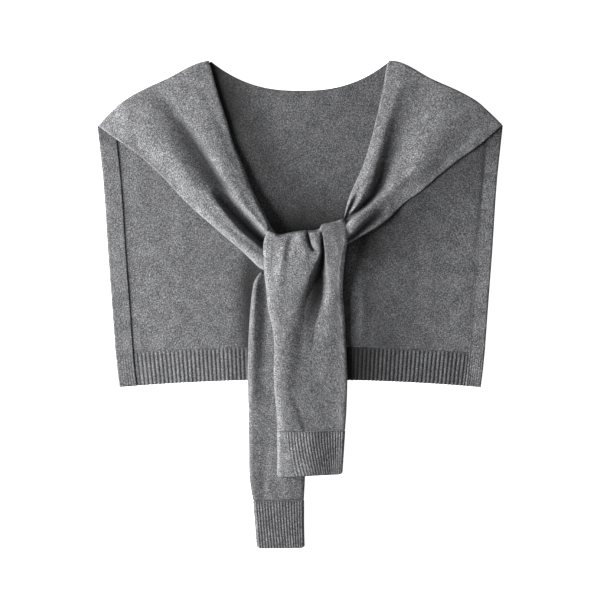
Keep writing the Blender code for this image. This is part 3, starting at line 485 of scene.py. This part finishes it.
def half_width(y):
    rows = np.array(SIDE) * MM
    return np.interp(y, rows[:, 0], rows[:, 1])


def hem_seam(x):
    return RIB_TOP_CENTRE - RIB_TOP_SWEEP * (x / RIB_TOP_HALF) ** 2


def hem_edge(x):
    return HEM_CENTRE - HEM_SWEEP * (x / HEM_HALF) ** 2


def shoulder_line(x):
    left, right = np.array(SHOULDER_LEFT)[::-1] * MM, np.array(SHOULDER_RIGHT) * MM
    return np.where(x < 0, np.interp(x, left[:, 0], left[:, 1]), np.interp(x, right[:, 0], right[:, 1]))


def panel_top_edge(x):
    steep = ease(0.88, 0.97, np.abs(x) / PANEL_TOP_HALF)
    neckline = NECK_LOW + (NECK_TOP - NECK_LOW) * np.abs(x / NECK_HALF) ** NECK_POWER
    inset = SHOULDER_INSET * (1 + 0.6 * steep) * ease(NECK_HALF - 4 * MM, NECK_HALF + 4 * MM, np.abs(x))
    return np.minimum(shoulder_line(x) - inset, neckline)


def crease_height(x, y, squareness, rows):
    """Height that one crease adds, from the nearest point along it."""
    rows = np.array(rows, float)
    path = np.stack([(rows[:, 0] - PHOTO_ZERO[0]) * PIXEL, (PHOTO_ZERO[1] - rows[:, 1]) * PIXEL], axis=1)
    rise, left, right = (rows[:, k] * MM for k in (2, 3, 4))
    nearest = np.full(np.shape(x), np.inf)
    height = np.zeros(np.shape(x))
    for k in range(len(rows) - 1):
        along = path[k + 1] - path[k]
        u = np.clip(((x - path[k, 0]) * along[0] + (y - path[k, 1]) * along[1]) / (along @ along), 0, 1)
        dx, dy = x - path[k, 0] - u * along[0], y - path[k, 1] - u * along[1]
        distance = np.hypot(dx, dy)
        width = np.where(
            along[0] * dy > along[1] * dx,
            left[k] + u * (left[k + 1] - left[k]),
            right[k] + u * (right[k + 1] - right[k]),
        )
        here = (rise[k] + u * (rise[k + 1] - rise[k])) * np.exp(-((distance / width) ** squareness))
        height = np.where(distance < nearest, here, height)
        nearest = np.minimum(nearest, distance)
    return height


def creases(name, x, y):
    return sum(crease_height(x, y, squareness, rows) for squareness, rows in CREASES[name])


def painted_light_share(name, x, y):
    """Painted shade and light on each point's colour: 1 in the open, less or more where the table says so."""
    left = np.ones(np.shape(x))
    for squareness, rows in PAINTED_SHADE_AND_LIGHT.get(name, []):
        left = left * (1 - crease_height(x, y, squareness, rows) / MM)
    return left


def knot_mound(x, y):
    """Top of the hidden layers of the knot, and of the sleeve ends under the wrap."""
    to_left, to_right = ease(22 * MM, 34 * MM, -x), ease(34 * MM, 46 * MM, x)
    upper = MOUND_TOP + (MOUND_TOP_LEFT - MOUND_TOP) * to_left + (MOUND_TOP_RIGHT - MOUND_TOP) * to_right
    lower = MOUND_LOW + (MOUND_LOW_LEFT - MOUND_LOW) * to_left + (MOUND_LOW_RIGHT - MOUND_LOW) * to_right
    across = np.abs((x - KNOT_X) / KNOT_A) ** KNOT_POWER
    along = np.abs((2 * y - upper - lower) / (upper - lower)) ** KNOT_POWER
    dome = OVER_PANEL + KNOT_RISE * np.sqrt(np.clip(1 - across - along, 0, 1)) + creases("knot_mound", x, y)
    return np.where(across + along < 1, np.maximum(dome, OVER_PANEL), 0)


def ground(y):
    """What a tail lies on: the panel, the rib's crests, then the floor beyond the hem."""
    on_rib = OVER_PANEL + (OVER_RIB - OVER_PANEL) * ease(40 * MM, 48 * MM, -y)
    return on_rib * (1 - ease(-HEM_LINE, -FLOOR_LINE, -y))


SLEEVE_HEIGHT = table([(1000 * share, height) for share, height in SLEEVE_RISE])
FRONT_HEIGHT = table(FRONT_RISE)
REAR_HEIGHT = table(REAR_RISE)
REAR_RIGHT_EDGE = spline(REAR_RIGHT)


def across_lanes(lanes, t):
    """Smooth height across a piece, from its heights along four lanes at even shares of its width."""
    a, b, c, d = np.moveaxis(lanes, -1, 0)
    w = 3 * t
    return (
        -a * (w - 1) * (w - 2) * (w - 3) / 6
        + b * w * (w - 2) * (w - 3) / 2
        - c * w * (w - 1) * (w - 3) / 2
        + d * w * (w - 1) * (w - 2) / 6
    )


def rear_right(y):
    return REAR_RIGHT_EDGE(np.clip((REAR_FIRST_Y - y) / REAR_LONG, 0, 1))[..., 0]


def rear_top(x, y):
    crown = 1 - 0.10 * ease(-18 * MM, 0, x - rear_right(y))
    return REAR_HEIGHT(y)[..., 0] * crown + creases("rear_tail", x, y)


def front_bottom(x, y, slope=13 * MM):
    """Underside of the front tail: over the mound and the rear tail, down to the panel on the right."""
    over_rear = np.where(y < REAR_START, REAR_HEIGHT(y)[..., 0] + 2 * SEAM_GAP, 0)
    beside = ease(0, slope, x - rear_right(y) - MM)
    low = ground(y)
    on_rear = low + np.clip(over_rear - low, 0, None) * (1 - beside)
    between_sleeves = ease(*GAP_LEFT, x) * ease(*GAP_RIGHT, -x) * ease(*GAP_LOW, y)
    mound = knot_mound(x, y)
    return np.maximum(on_rear, np.where(mound > 0, (mound + 2 * SEAM_GAP) * (1 - between_sleeves), 0))


def front_slope(x, y):
    return front_bottom(x, y, slope=42 * MM)


def rear_floor(x, y):
    return np.zeros_like(x)


def stitch_map(points, plan):
    """Place of every grid point in the knit, in metres along the courses and along the wales."""
    if plan:
        return points[..., 0], points[..., 1]
    across = np.linalg.norm(np.diff(points, axis=1), axis=2)
    along = np.linalg.norm(np.diff(points, axis=0), axis=2)
    u = np.concatenate([np.zeros((len(points), 1)), np.cumsum(across, axis=1)], axis=1)
    v = np.concatenate([np.zeros((1, points.shape[1])), np.cumsum(along, axis=0)], axis=0)
    return u - u[:, [points.shape[1] // 3]], v


def knit_piece(name, key, grid, place, material, wall, plan=False, weld=False):
    """A grid of knit that place(u, v) moves to the garment's form, with a wall inwards."""
    columns, rows = grid
    shape = bmesh.new()
    bmesh.ops.create_grid(shape, x_segments=columns, y_segments=rows, size=0.5, calc_uvs=True)
    shape.loops.layers.uv.verify()
    mesh = bpy.data.meshes.new(name)
    shape.to_mesh(mesh)
    shape.free()
    count = len(mesh.vertices)
    flat = np.empty(count * 3)
    mesh.vertices.foreach_get("co", flat)
    flat = flat.reshape(-1, 3)
    column = np.rint((flat[:, 0] + 0.5) * columns).astype(int)
    row = np.rint((flat[:, 1] + 0.5) * rows).astype(int)
    u, v = np.meshgrid(np.linspace(0, 1, columns + 1), np.linspace(0, 1, rows + 1))
    points = np.stack(place(u, v), axis=-1)
    mesh.vertices.foreach_set("co", points[row, column].ravel())
    # Painted shade and painted light, per point: the factor that the material multiplies into the cloth's
    # colour.
    light = mesh.attributes.new("light", "FLOAT", "POINT")
    light.data.foreach_set("value", painted_light_share(key, points[..., 0], points[..., 1])[row, column].ravel())
    stitch_u, stitch_v = stitch_map(points, plan)
    corner = np.empty(len(mesh.loops), int)
    mesh.loops.foreach_get("vertex_index", corner)
    uv = np.stack([stitch_u[row, column][corner], stitch_v[row, column][corner]], axis=1)
    mesh.uv_layers[0].name = "stitches"
    mesh.uv_layers[0].data.foreach_set("uv", uv.ravel())
    shape = bmesh.new()
    shape.from_mesh(mesh)
    if weld:
        bmesh.ops.remove_doubles(shape, verts=shape.verts, dist=WELD)
    shape.normal_update()
    highest = max(shape.faces, key=lambda face: face.calc_center_median().z)
    if highest.normal.z < 0:
        bmesh.ops.reverse_faces(shape, faces=shape.faces)
    shape.to_mesh(mesh)
    shape.free()
    mesh.shade_smooth()
    mesh.materials.append(material)
    piece = bpy.data.objects.new(name, mesh)
    bpy.context.scene.collection.objects.link(piece)
    solid = piece.modifiers.new("Wall", "SOLIDIFY")
    solid.thickness, solid.offset = wall, -1
    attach(piece, "root")
    return piece


def node(tree, kind, **inputs):
    """A shader node with its sockets set to values or joined to other sockets."""
    made = tree.nodes.new("ShaderNode" + kind)
    for key, value in inputs.items():
        if hasattr(made, key):
            setattr(made, key, value)
            continue
        socket = made.inputs[int(key[1:]) if key[1:].isdigit() else key.replace("_", " ")]
        if isinstance(value, bpy.types.NodeSocket):
            tree.links.new(value, socket)
        else:
            socket.default_value = value
    return made


def math(tree, operation, a, b=0.0, c=0.0):
    return node(tree, "Math", operation=operation, i0=a, i1=b, i2=c).outputs[0]


def knit_material(name, cloth, tone_and_painted_light, fleck, streak, relief, purl):
    """Melange knit on the piece's own stitch map: slanted legs of yarn, flecks of light and dark fibre."""
    material = bpy.data.materials.new(name)
    material.use_nodes = True
    tree = material.node_tree
    shader = tree.nodes["Principled BSDF"]
    place = node(tree, "UVMap", uv_map="stitches").outputs["UV"]
    wander = node(tree, "TexNoise", Vector=place, Scale=WANDER_SCALE, Detail=1.0).outputs["Color"]
    shifted = node(tree, "VectorMath", operation="MULTIPLY_ADD", i0=wander, i1=WANDER, i2=place)
    split = node(tree, "SeparateXYZ", Vector=shifted.outputs[0])
    wale = math(tree, "DIVIDE", split.outputs["X"], cloth.wale)
    course = math(tree, "DIVIDE", split.outputs["Y"], cloth.course)
    from_middle = math(tree, "ABSOLUTE", math(tree, "SUBTRACT", math(tree, "FRACT", wale), 0.5))
    climb = math(tree, "MULTIPLY_ADD", from_middle, PURL_SLANT if purl else LEG_SLANT, course)
    loop = math(tree, "MULTIPLY_ADD", math(tree, "SINE", math(tree, "MULTIPLY", climb, 2 * np.pi)), 0.5, 0.5)
    strand = math(tree, "SINE", math(tree, "MULTIPLY", from_middle, 2 * np.pi))
    height = math(tree, "MULTIPLY_ADD", loop, 0.65, math(tree, "MULTIPLY", strand, 0.35))

    def patches(scale, roughness):
        stretched = node(tree, "VectorMath", operation="MULTIPLY", i0=place, i1=scale).outputs[0]
        noise = node(tree, "TexNoise", Vector=stretched, Scale=1.0, Detail=1.0, Roughness=roughness)
        return noise.outputs["Fac"]

    leg = node(
        tree, "CombineXYZ",
        X=math(tree, "FLOOR", math(tree, "MULTIPLY", wale, 2.0)), Y=math(tree, "FLOOR", climb),
    )
    per_stitch = node(tree, "TexWhiteNoise", noise_dimensions="2D", Vector=leg.outputs[0]).outputs["Value"]
    fibres, streaks = patches(FIBRE_SCALE, 0.6), patches(STREAK_SCALE, 0.5)
    cloud = node(tree, "TexNoise", Vector=place, Scale=CLOUD_SCALE, Detail=3.0, Roughness=0.6).outputs["Fac"]
    flecks = 0.5
    for pattern, share in (
        (per_stitch, STITCH_SHARE * fleck), (fibres, FIBRE_SHARE * fleck), (streaks, streak),
        (cloud, CLOUD_SHARE),
    ):
        flecks = math(tree, "MULTIPLY_ADD", math(tree, "SUBTRACT", pattern, 0.5), share, flecks)
    even_to_the_eye = math(tree, "POWER", math(tree, "MAXIMUM", flecks, 0.0), EYE_POWER)
    mixed = node(
        tree, "Mix", data_type="RGBA",
        i0=even_to_the_eye, i6=(*cloth.yarn_dark, 1), i7=(*cloth.yarn_light, 1),
    )
    mixed.clamp_factor = True
    # Painted shade: the colour is darker between the stitches' loops, and is multiplied by the painted light
    # attribute.
    tone_and_stitch_shade = math(tree, "MULTIPLY_ADD", height, 0.3 * tone_and_painted_light, 0.82 * tone_and_painted_light)
    light = math(tree, "MULTIPLY", tone_and_stitch_shade, node(tree, "Attribute", attribute_name="light").outputs["Fac"])
    shaded = node(tree, "VectorMath", operation="SCALE", i0=mixed.outputs[2], Scale=light)
    tree.links.new(shaded.outputs[0], shader.inputs["Base Color"])
    fuzz = math(tree, "MULTIPLY_ADD", fibres, 0.5, height)
    bump = node(tree, "Bump", Strength=relief, Distance=BUMP_HEIGHT, Height=fuzz)
    tree.links.new(bump.outputs[0], shader.inputs["Normal"])
    shader.inputs["Roughness"].default_value = 0.93
    shader.inputs["Specular IOR Level"].default_value = 0.25
    shader.inputs["Sheen Weight"].default_value = 0.10
    shader.inputs["Sheen Roughness"].default_value = 0.6
    return material


def cloth_material(name):
    """Each finish is made once and shared by its pieces."""
    if name in bpy.data.materials:
        return bpy.data.materials[name]
    return knit_material(name, bpy.context.scene.capelet_cloth, *FINISHES[name])


def spread(u, knots):
    """Moves even grid lines so that they crowd where the form is small. knots are (even place, new place)."""
    knots = np.array(knots)
    return np.interp(u, knots[:, 0], knots[:, 1])


def tube_form(plan, top, bottom, length, round_edge, round_start, fullness=2.0, top_share=0.78):
    """A flattened tube of knit: over the top from one long edge to the other, and back underneath."""

    def place(u, v):
        over = u <= top_share
        turn = np.where(over, u / top_share, (1 - u) / (1 - top_share))
        even = 0.5 - 0.5 * np.cos(np.pi * turn)
        t = 0.45 * turn + 0.55 * even
        s = spread(v, [(0, 0), (0.08, 0.02), (1, 1)])
        x, y = np.moveaxis(plan(s, t), -1, 0)
        width = np.linalg.norm(plan(s, np.zeros_like(s)) - plan(s, np.ones_like(s)), axis=-1)
        low, high = bottom(s, t, x, y), top(s, t, x, y)
        edge = low + np.minimum(EDGE_RISE, 0.4 * (high - low))
        to_edge, to_start = np.minimum(t, 1 - t) * width, s * length(t)
        rounded = bulge(to_edge, round_edge(s), fullness) * bulge(to_start, round_start, fullness)
        under = bulge(to_edge, 0.5 * round_edge(s)) * bulge(to_start, 0.4 * round_start)
        z = np.where(over, edge + (high - edge) * rounded, edge - (edge - low) * under)
        return x, y, np.maximum(z, FLOOR_GAP)

    return place


def sleeve_form(name, shoulder, inner, outer, band, thin_inner, thin_outer):
    first, last = spline(inner), spline(outer)
    plan = patch(spline(shoulder), line(first(1.0), last(1.0)), first, last)

    def length(t):
        return first.length + (last.length - first.length) * t

    def bottom(s, t, x, y):
        below_shoulder = shoulder_line(x) - y
        on_panel = OVER_PANEL - 1.0 * MM * (1 - np.clip(below_shoulder / (1.2 * MM), 0, 1))
        over_band = (BAND_WALL + SEAM_GAP) * ease(0.5 * MM, 3 * MM, below_shoulder)
        from_band = half_width(y) - np.abs(x) - band
        return on_panel + over_band * (1 - ease(12 * MM, 28 * MM, from_band))

    def top(s, t, x, y):
        thin = thin_inner * (1 - ease(0, 0.16, t)) + thin_outer * (1 - ease(0, 0.3, 1 - t))
        thinned = SLEEVE_HEIGHT(s)[..., 0] * (1 - thin * (1 - ease(0.55, 0.95, s)))
        high = thinned + 0.9 * MM * np.sin(np.pi * t)
        high = high + creases(name, x, y) + 0.4 * bottom(s, t, x, y)
        near_wrap = 1 - ease(*UNDER_WRAP, np.abs(x - KNOT_X))
        capped = np.minimum(high, np.maximum(knot_mound(x, y) - SEAM_GAP, 8 * MM))
        return np.maximum(high + (capped - high) * near_wrap, bottom(s, t, x, y) + LEAST_SLEEVE)

    return tube_form(
        plan, top, bottom, length,
        round_edge=lambda s: (6 + 2.5 * s) * MM, round_start=4 * MM, fullness=3.2,
    )


class SCENE_OT_capelet_back(bpy.types.Operator):
    """Builds the back panel, its hem rib and the two turned-in side bands"""

    bl_idname = "scene.capelet_back"
    bl_label = "Back, Hem and Side Bands"

    def panel(self):
        def place(u, v):
            u = 2 * u - 1
            v = spread(v, [(0, 0), (0.03, 0.004), (0.96, 0.994), (1, 1)])
            y_low, y_high = hem_seam(u * RIB_TOP_HALF), panel_top_edge(u * PANEL_TOP_HALF)
            y = y_low + (y_high - y_low) * v
            straight = RIB_TOP_HALF + (PANEL_TOP_HALF - RIB_TOP_HALF) * v
            x = u * (straight + (half_width(y) - 1.5 * MM - straight) * np.abs(u) ** 3)
            rim = 0.7 * MM * (1 - bulge((1 - v) * (y_high - y_low), 1.4 * MM))
            return x, y, PANEL + creases("back_panel", x, y) - rim

        finish = cloth_material("Knit_Reverse")
        return knit_piece("Back_Panel", "back_panel", PANEL_GRID, place, finish, PANEL_SHELL, plan=True)

    def hem(self, cloth):
        def place(u, v):
            v = spread(v, [(0, 0), (0.15, 0.03), (0.8, 0.9), (1, 1)])
            u = 2 * u - 1
            x_top, x_low = u * RIB_TOP_HALF, u * HEM_HALF
            wave = np.cos(np.pi * HEM_RIBS * (u + 1))
            wave = 1 - np.abs(0.5 - 0.5 * wave) ** 1.3
            y_top, y_low = hem_seam(x_top), hem_edge(x_low) - 0.4 * MM * (wave - 0.5)
            x, y = x_low + (x_top - x_low) * v, y_low + (y_top - y_low) * v
            from_band = half_width(y) - np.abs(x) - np.where(x < 0, BAND_LEFT, BAND_RIGHT)
            free = ease(1 * MM, 4 * MM, from_band)
            fade = ease(0, 0.10, 1 - v)
            ribs = RIB_CREST + cloth.rib_depth * (wave - 1) * free
            edge = 0.7 * MM * (1 - bulge(v * 40 * MM, 1.2 * MM))
            z = PANEL - 0.25 * MM + (ribs - PANEL + 0.25 * MM) * fade - edge
            return x, y, np.where(free < 0.01, np.minimum(z, PANEL), z)

        finish = cloth_material("Rib_Hem")
        return knit_piece("Hem_Rib", "hem_rib", HEM_GRID, place, finish, HEM_SHELL, plan=True)

    def band(self, name, side, width):
        def place(u, v):
            v = spread(v, [(0, 0), (0.3, 0.16), (1, 1)])
            across = spread(u, [(0, 0), (0.85, 1), (1, 1)])
            curl = ease(0.85, 1, u)
            inset = width * (1 - across)
            high = shoulder_line(np.array(side * PANEL_TOP_HALF)) - 1.4 * MM
            low = hem_edge(HEM_HALF - inset)
            y = low + (high - low) * v
            wave = 0.5 - 0.5 * np.cos(2 * np.pi * BAND_RIBS * inset / width)
            ribbed = 1 - ease(-3 * MM, 1 * MM, y - hem_seam(half_width(y) - inset))
            inner_turn = 0.9 * MM * (1 - bulge(width - inset, 1.6 * MM))
            outer_turn = 1.3 * MM * (1 - bulge(inset, 2.4 * MM))
            top = OVER_PANEL + BAND_WALL * ease(0, 3 * MM, high - y) + BAND_RIB * wave * ribbed
            top = top - inner_turn - outer_turn
            x = half_width(y) - inset + 0.5 * MM * np.sin(np.pi * curl)
            return side * x, y, top + (0.2 * MM - top) * (0.5 - 0.5 * np.cos(np.pi * curl))

        finish = cloth_material("Knit_Band")
        return knit_piece(name, name.lower(), BAND_GRID, place, finish, BAND_SHELL, plan=True)

    def execute(self, context):
        panel = self.panel()
        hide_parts("back_panel")
        hem = self.hem(context.scene.capelet_cloth)
        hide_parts("hem_rib")
        for name, side, width in (("Side_Band_Left", -1, BAND_LEFT), ("Side_Band_Right", 1, BAND_RIGHT)):
            band = self.band(name, side, width)
            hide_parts(name.lower())
        return {"FINISHED"}


class SCENE_OT_capelet_sleeves(bpy.types.Operator):
    """Builds the two sleeves from the shoulders to the knot"""

    bl_idname = "scene.capelet_sleeves"
    bl_label = "Sleeves"

    def execute(self, context):
        wall = context.scene.capelet_cloth.wall
        left = (SHOULDER_LEFT, SLEEVE_LEFT_INNER, SLEEVE_LEFT_OUTER, BAND_LEFT, *THIN_LEFT)
        right = (SHOULDER_RIGHT, SLEEVE_RIGHT_INNER, SLEEVE_RIGHT_OUTER, BAND_RIGHT, *THIN_RIGHT)
        for name, sides in (("Sleeve_Left", left), ("Sleeve_Right", right)):
            key = name.lower()
            form = sleeve_form(key, *sides)
            piece = knit_piece(name, key, SLEEVE_GRID, form, cloth_material("Knit_Face"), wall, weld=True)
            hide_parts(key)
        return {"FINISHED"}


class SCENE_OT_capelet_tails(bpy.types.Operator):
    """Builds the wrap of the knot with the front tail, and the rear tail under it"""

    bl_idname = "scene.capelet_tails"
    bl_label = "Knot and Tails"

    def execute(self, context):
        wall = context.scene.capelet_cloth.wall
        first, last = spline(FRONT_LEFT), spline(FRONT_RIGHT)
        plan = patch(spline(FRONT_TOP), line(first(1.0), last(1.0)), first, last)

        def front_top(s, t, x, y):
            high = across_lanes(FRONT_HEIGHT(y), t) + creases("front_tail", x, y)
            return np.maximum(high, front_slope(x, y) + LEAST_FRONT)

        knit = cloth_material("Knit_Face")
        form = tube_form(
            plan, front_top, lambda s, t, x, y: front_bottom(x, y),
            lambda t: first.length + (last.length - first.length) * t,
            round_edge=lambda s: (6 + 3 * s) * MM, round_start=7 * MM, fullness=2.8,
        )
        front = knit_piece("Knot_Wrap_and_Front_Tail", "front_tail", FRONT_GRID, form, knit, wall, weld=True)
        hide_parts("front_tail", "knot_core")

        left, right = spline(REAR_LEFT), spline(REAR_RIGHT)
        plan = patch(line(left(0.0), right(0.0)), line(left(1.0), right(1.0)), left, right)
        form = tube_form(
            plan, lambda s, t, x, y: rear_top(x, y), lambda s, t, x, y: ground(y),
            lambda t: left.length + (right.length - left.length) * t,
            round_edge=lambda s: 6 * MM, round_start=6 * MM,
        )
        rear = knit_piece("Rear_Tail", "rear_tail", REAR_GRID, form, knit, wall, weld=True)
        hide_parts("rear_tail")
        return {"FINISHED"}


class SCENE_OT_capelet_cuffs(bpy.types.Operator):
    """Builds the two ribbed cuffs, open at their ends"""

    bl_idname = "scene.capelet_cuffs"
    bl_label = "Cuffs"

    def form(self, left, right, floor, ribs_across, lean, plain, top_share=0.55):
        first, last = spline(left), spline(right)
        plan = patch(line(first(0.0), last(0.0)), line(first(1.0), last(1.0)), first, last)

        def place(u, v):
            over = u <= top_share
            turn = np.where(over, u / top_share, (1 - u) / (1 - top_share))
            t = 0.88 * turn + 0.12 * (0.5 - 0.5 * np.cos(np.pi * turn))
            wave = 0.5 + 0.5 * np.cos(2 * np.pi * (ribs_across * turn + lean * v**1.5 * np.sin(np.pi * turn)))
            x, y = np.moveaxis(plan(v, t), -1, 0)
            low = floor(x, y)
            width = np.linalg.norm(plan(v, np.zeros_like(v)) - plan(v, np.ones_like(v)), axis=-1)
            to_edge = np.minimum(t, 1 - t) * width
            edge = low + 0.4 * CUFF_HEIGHT
            fade = ease(0, 0.05, v) * np.where(over, ease(-3 * MM, 3 * MM, x - np.interp(-y, *plain)), 1)
            ribs = CUFF_RIB * wave * fade + CUFF_PLAIN * (1 - fade)
            y = y + CUFF_BOW * (1 - bulge(to_edge, 5 * MM)) * v**8
            outer = bulge(to_edge, 4 * MM)
            z_top = edge + 0.6 * CUFF_HEIGHT * outer + ribs * outer
            z_bottom = edge - 0.4 * CUFF_HEIGHT * bulge(to_edge, 2 * MM)
            x = x + np.sign(t - 0.5) * (1 - outer) * ribs * 0.8
            return x, y, np.where(over, z_top, np.maximum(z_bottom, FLOOR_GAP))

        return place

    def execute(self, context):
        front = (FRONT_CUFF_LEFT, FRONT_CUFF_RIGHT, front_slope, *FRONT_CUFF_RIBS, FRONT_PLAIN)
        rear = (REAR_CUFF_LEFT, REAR_CUFF_RIGHT, rear_floor, *REAR_CUFF_RIBS, NO_PLAIN)
        finish = cloth_material("Rib_Cuff")
        for name, shape, flat, under in (
            ("Cuff_Front", front, (0.17, 0.055), "Rear_Tail"),
            ("Cuff_Rear", rear, (0.13, 0.06), "Floor"),
        ):
            key = name.lower()
            piece = knit_piece(name, key, CUFF_GRID, self.form(*shape), finish, CUFF_SHELL, weld=True)
            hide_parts(key)
        return {"FINISHED"}


class SCENE_OT_capelet_stage(bpy.types.Operator):
    """Builds the plain floor, the soft studio light and the camera straight above"""

    bl_idname = "scene.capelet_stage"
    bl_label = "Floor, Light and Camera"

    def lamp(self, name, place, target, size, watts):
        data = bpy.data.lights.new(name, "AREA")
        data.shape, data.size, data.size_y, data.energy = "RECTANGLE", *size, watts
        item = bpy.data.objects.new(name, data)
        item.location = place
        item.rotation_euler = (Vector(target) - Vector(place)).to_track_quat("-Z", "Y").to_euler()
        bpy.context.scene.collection.objects.link(item)

    def execute(self, context):
        scene, stage = context.scene, context.scene.capelet_stage
        shape = bmesh.new()
        bmesh.ops.create_grid(shape, x_segments=4, y_segments=4, size=FLOOR_HALF)
        mesh = bpy.data.meshes.new("Floor")
        shape.to_mesh(mesh)
        shape.free()
        pale = bpy.data.materials.new("Pale_Floor")
        pale.use_nodes = True
        paint = pale.node_tree.nodes["Principled BSDF"]
        paint.inputs["Base Color"].default_value = (FLOOR_WHITE, FLOOR_WHITE, FLOOR_WHITE, 1)
        paint.inputs["Roughness"].default_value = 0.9
        paint.inputs["Emission Color"].default_value = (1, 1, 1, 1)
        paint.inputs["Emission Strength"].default_value = FLOOR_GLOW
        mesh.materials.append(pale)
        floor = bpy.data.objects.new("Floor", mesh)
        scene.collection.objects.link(floor)

        self.lamp("Key", KEY_PLACE, KEY_TARGET, KEY_SIZE, stage.key_watts)
        world = bpy.data.worlds.new("Studio")
        world.use_nodes = True
        light = world.node_tree.nodes["Background"]
        light.inputs["Strength"].default_value = stage.fill
        light.inputs["Color"].default_value = (1, 1, 1, 1)
        scene.world = world
        scene.view_settings.view_transform = "Standard"

        camera = bpy.data.objects.new("Camera", bpy.data.cameras.new("Camera"))
        camera.data.sensor_width = SENSOR
        camera.data.lens = camera.data.sensor_width * stage.camera_height / (PHOTO_SIZE * PIXEL)
        camera.location = (
            (PHOTO_CENTRE[0] - PHOTO_ZERO[0]) * PIXEL,
            (PHOTO_ZERO[1] - PHOTO_CENTRE[1]) * PIXEL,
            stage.camera_height,
        )
        scene.collection.objects.link(camera)
        scene.camera = camera
        return {"FINISHED"}


class VIEW3D_PT_capelet(bpy.types.Panel):
    bl_label = "Capelet"
    bl_idname = "VIEW3D_PT_capelet"
    bl_space_type = "VIEW_3D"
    bl_region_type = "UI"
    bl_category = "Capelet"

    def draw(self, context):
        for group in (context.scene.capelet_cloth, context.scene.capelet_stage):
            for name in group.__annotations__:
                self.layout.prop(group, name)
        for operator in OPERATORS:
            self.layout.operator(operator.bl_idname)


OPERATORS = (
    SCENE_OT_capelet_back,
    SCENE_OT_capelet_sleeves,
    SCENE_OT_capelet_tails,
    SCENE_OT_capelet_cuffs,
    SCENE_OT_capelet_stage,
)
CLASSES = (CapeletCloth, CapeletStage, *OPERATORS, VIEW3D_PT_capelet)


def register():
    for item in CLASSES:
        bpy.utils.register_class(item)
    bpy.types.Scene.capelet_cloth = PointerProperty(type=CapeletCloth)
    bpy.types.Scene.capelet_stage = PointerProperty(type=CapeletStage)


def unregister():
    del bpy.types.Scene.capelet_stage
    del bpy.types.Scene.capelet_cloth
    for item in reversed(CLASSES):
        bpy.utils.unregister_class(item)


def main():
    register()
    bpy.ops.scene.capelet_back()
    bpy.ops.scene.capelet_sleeves()
    bpy.ops.scene.capelet_tails()
    bpy.ops.scene.capelet_cuffs()
    bpy.ops.scene.capelet_stage()


if __name__ == "__main__":
    main()
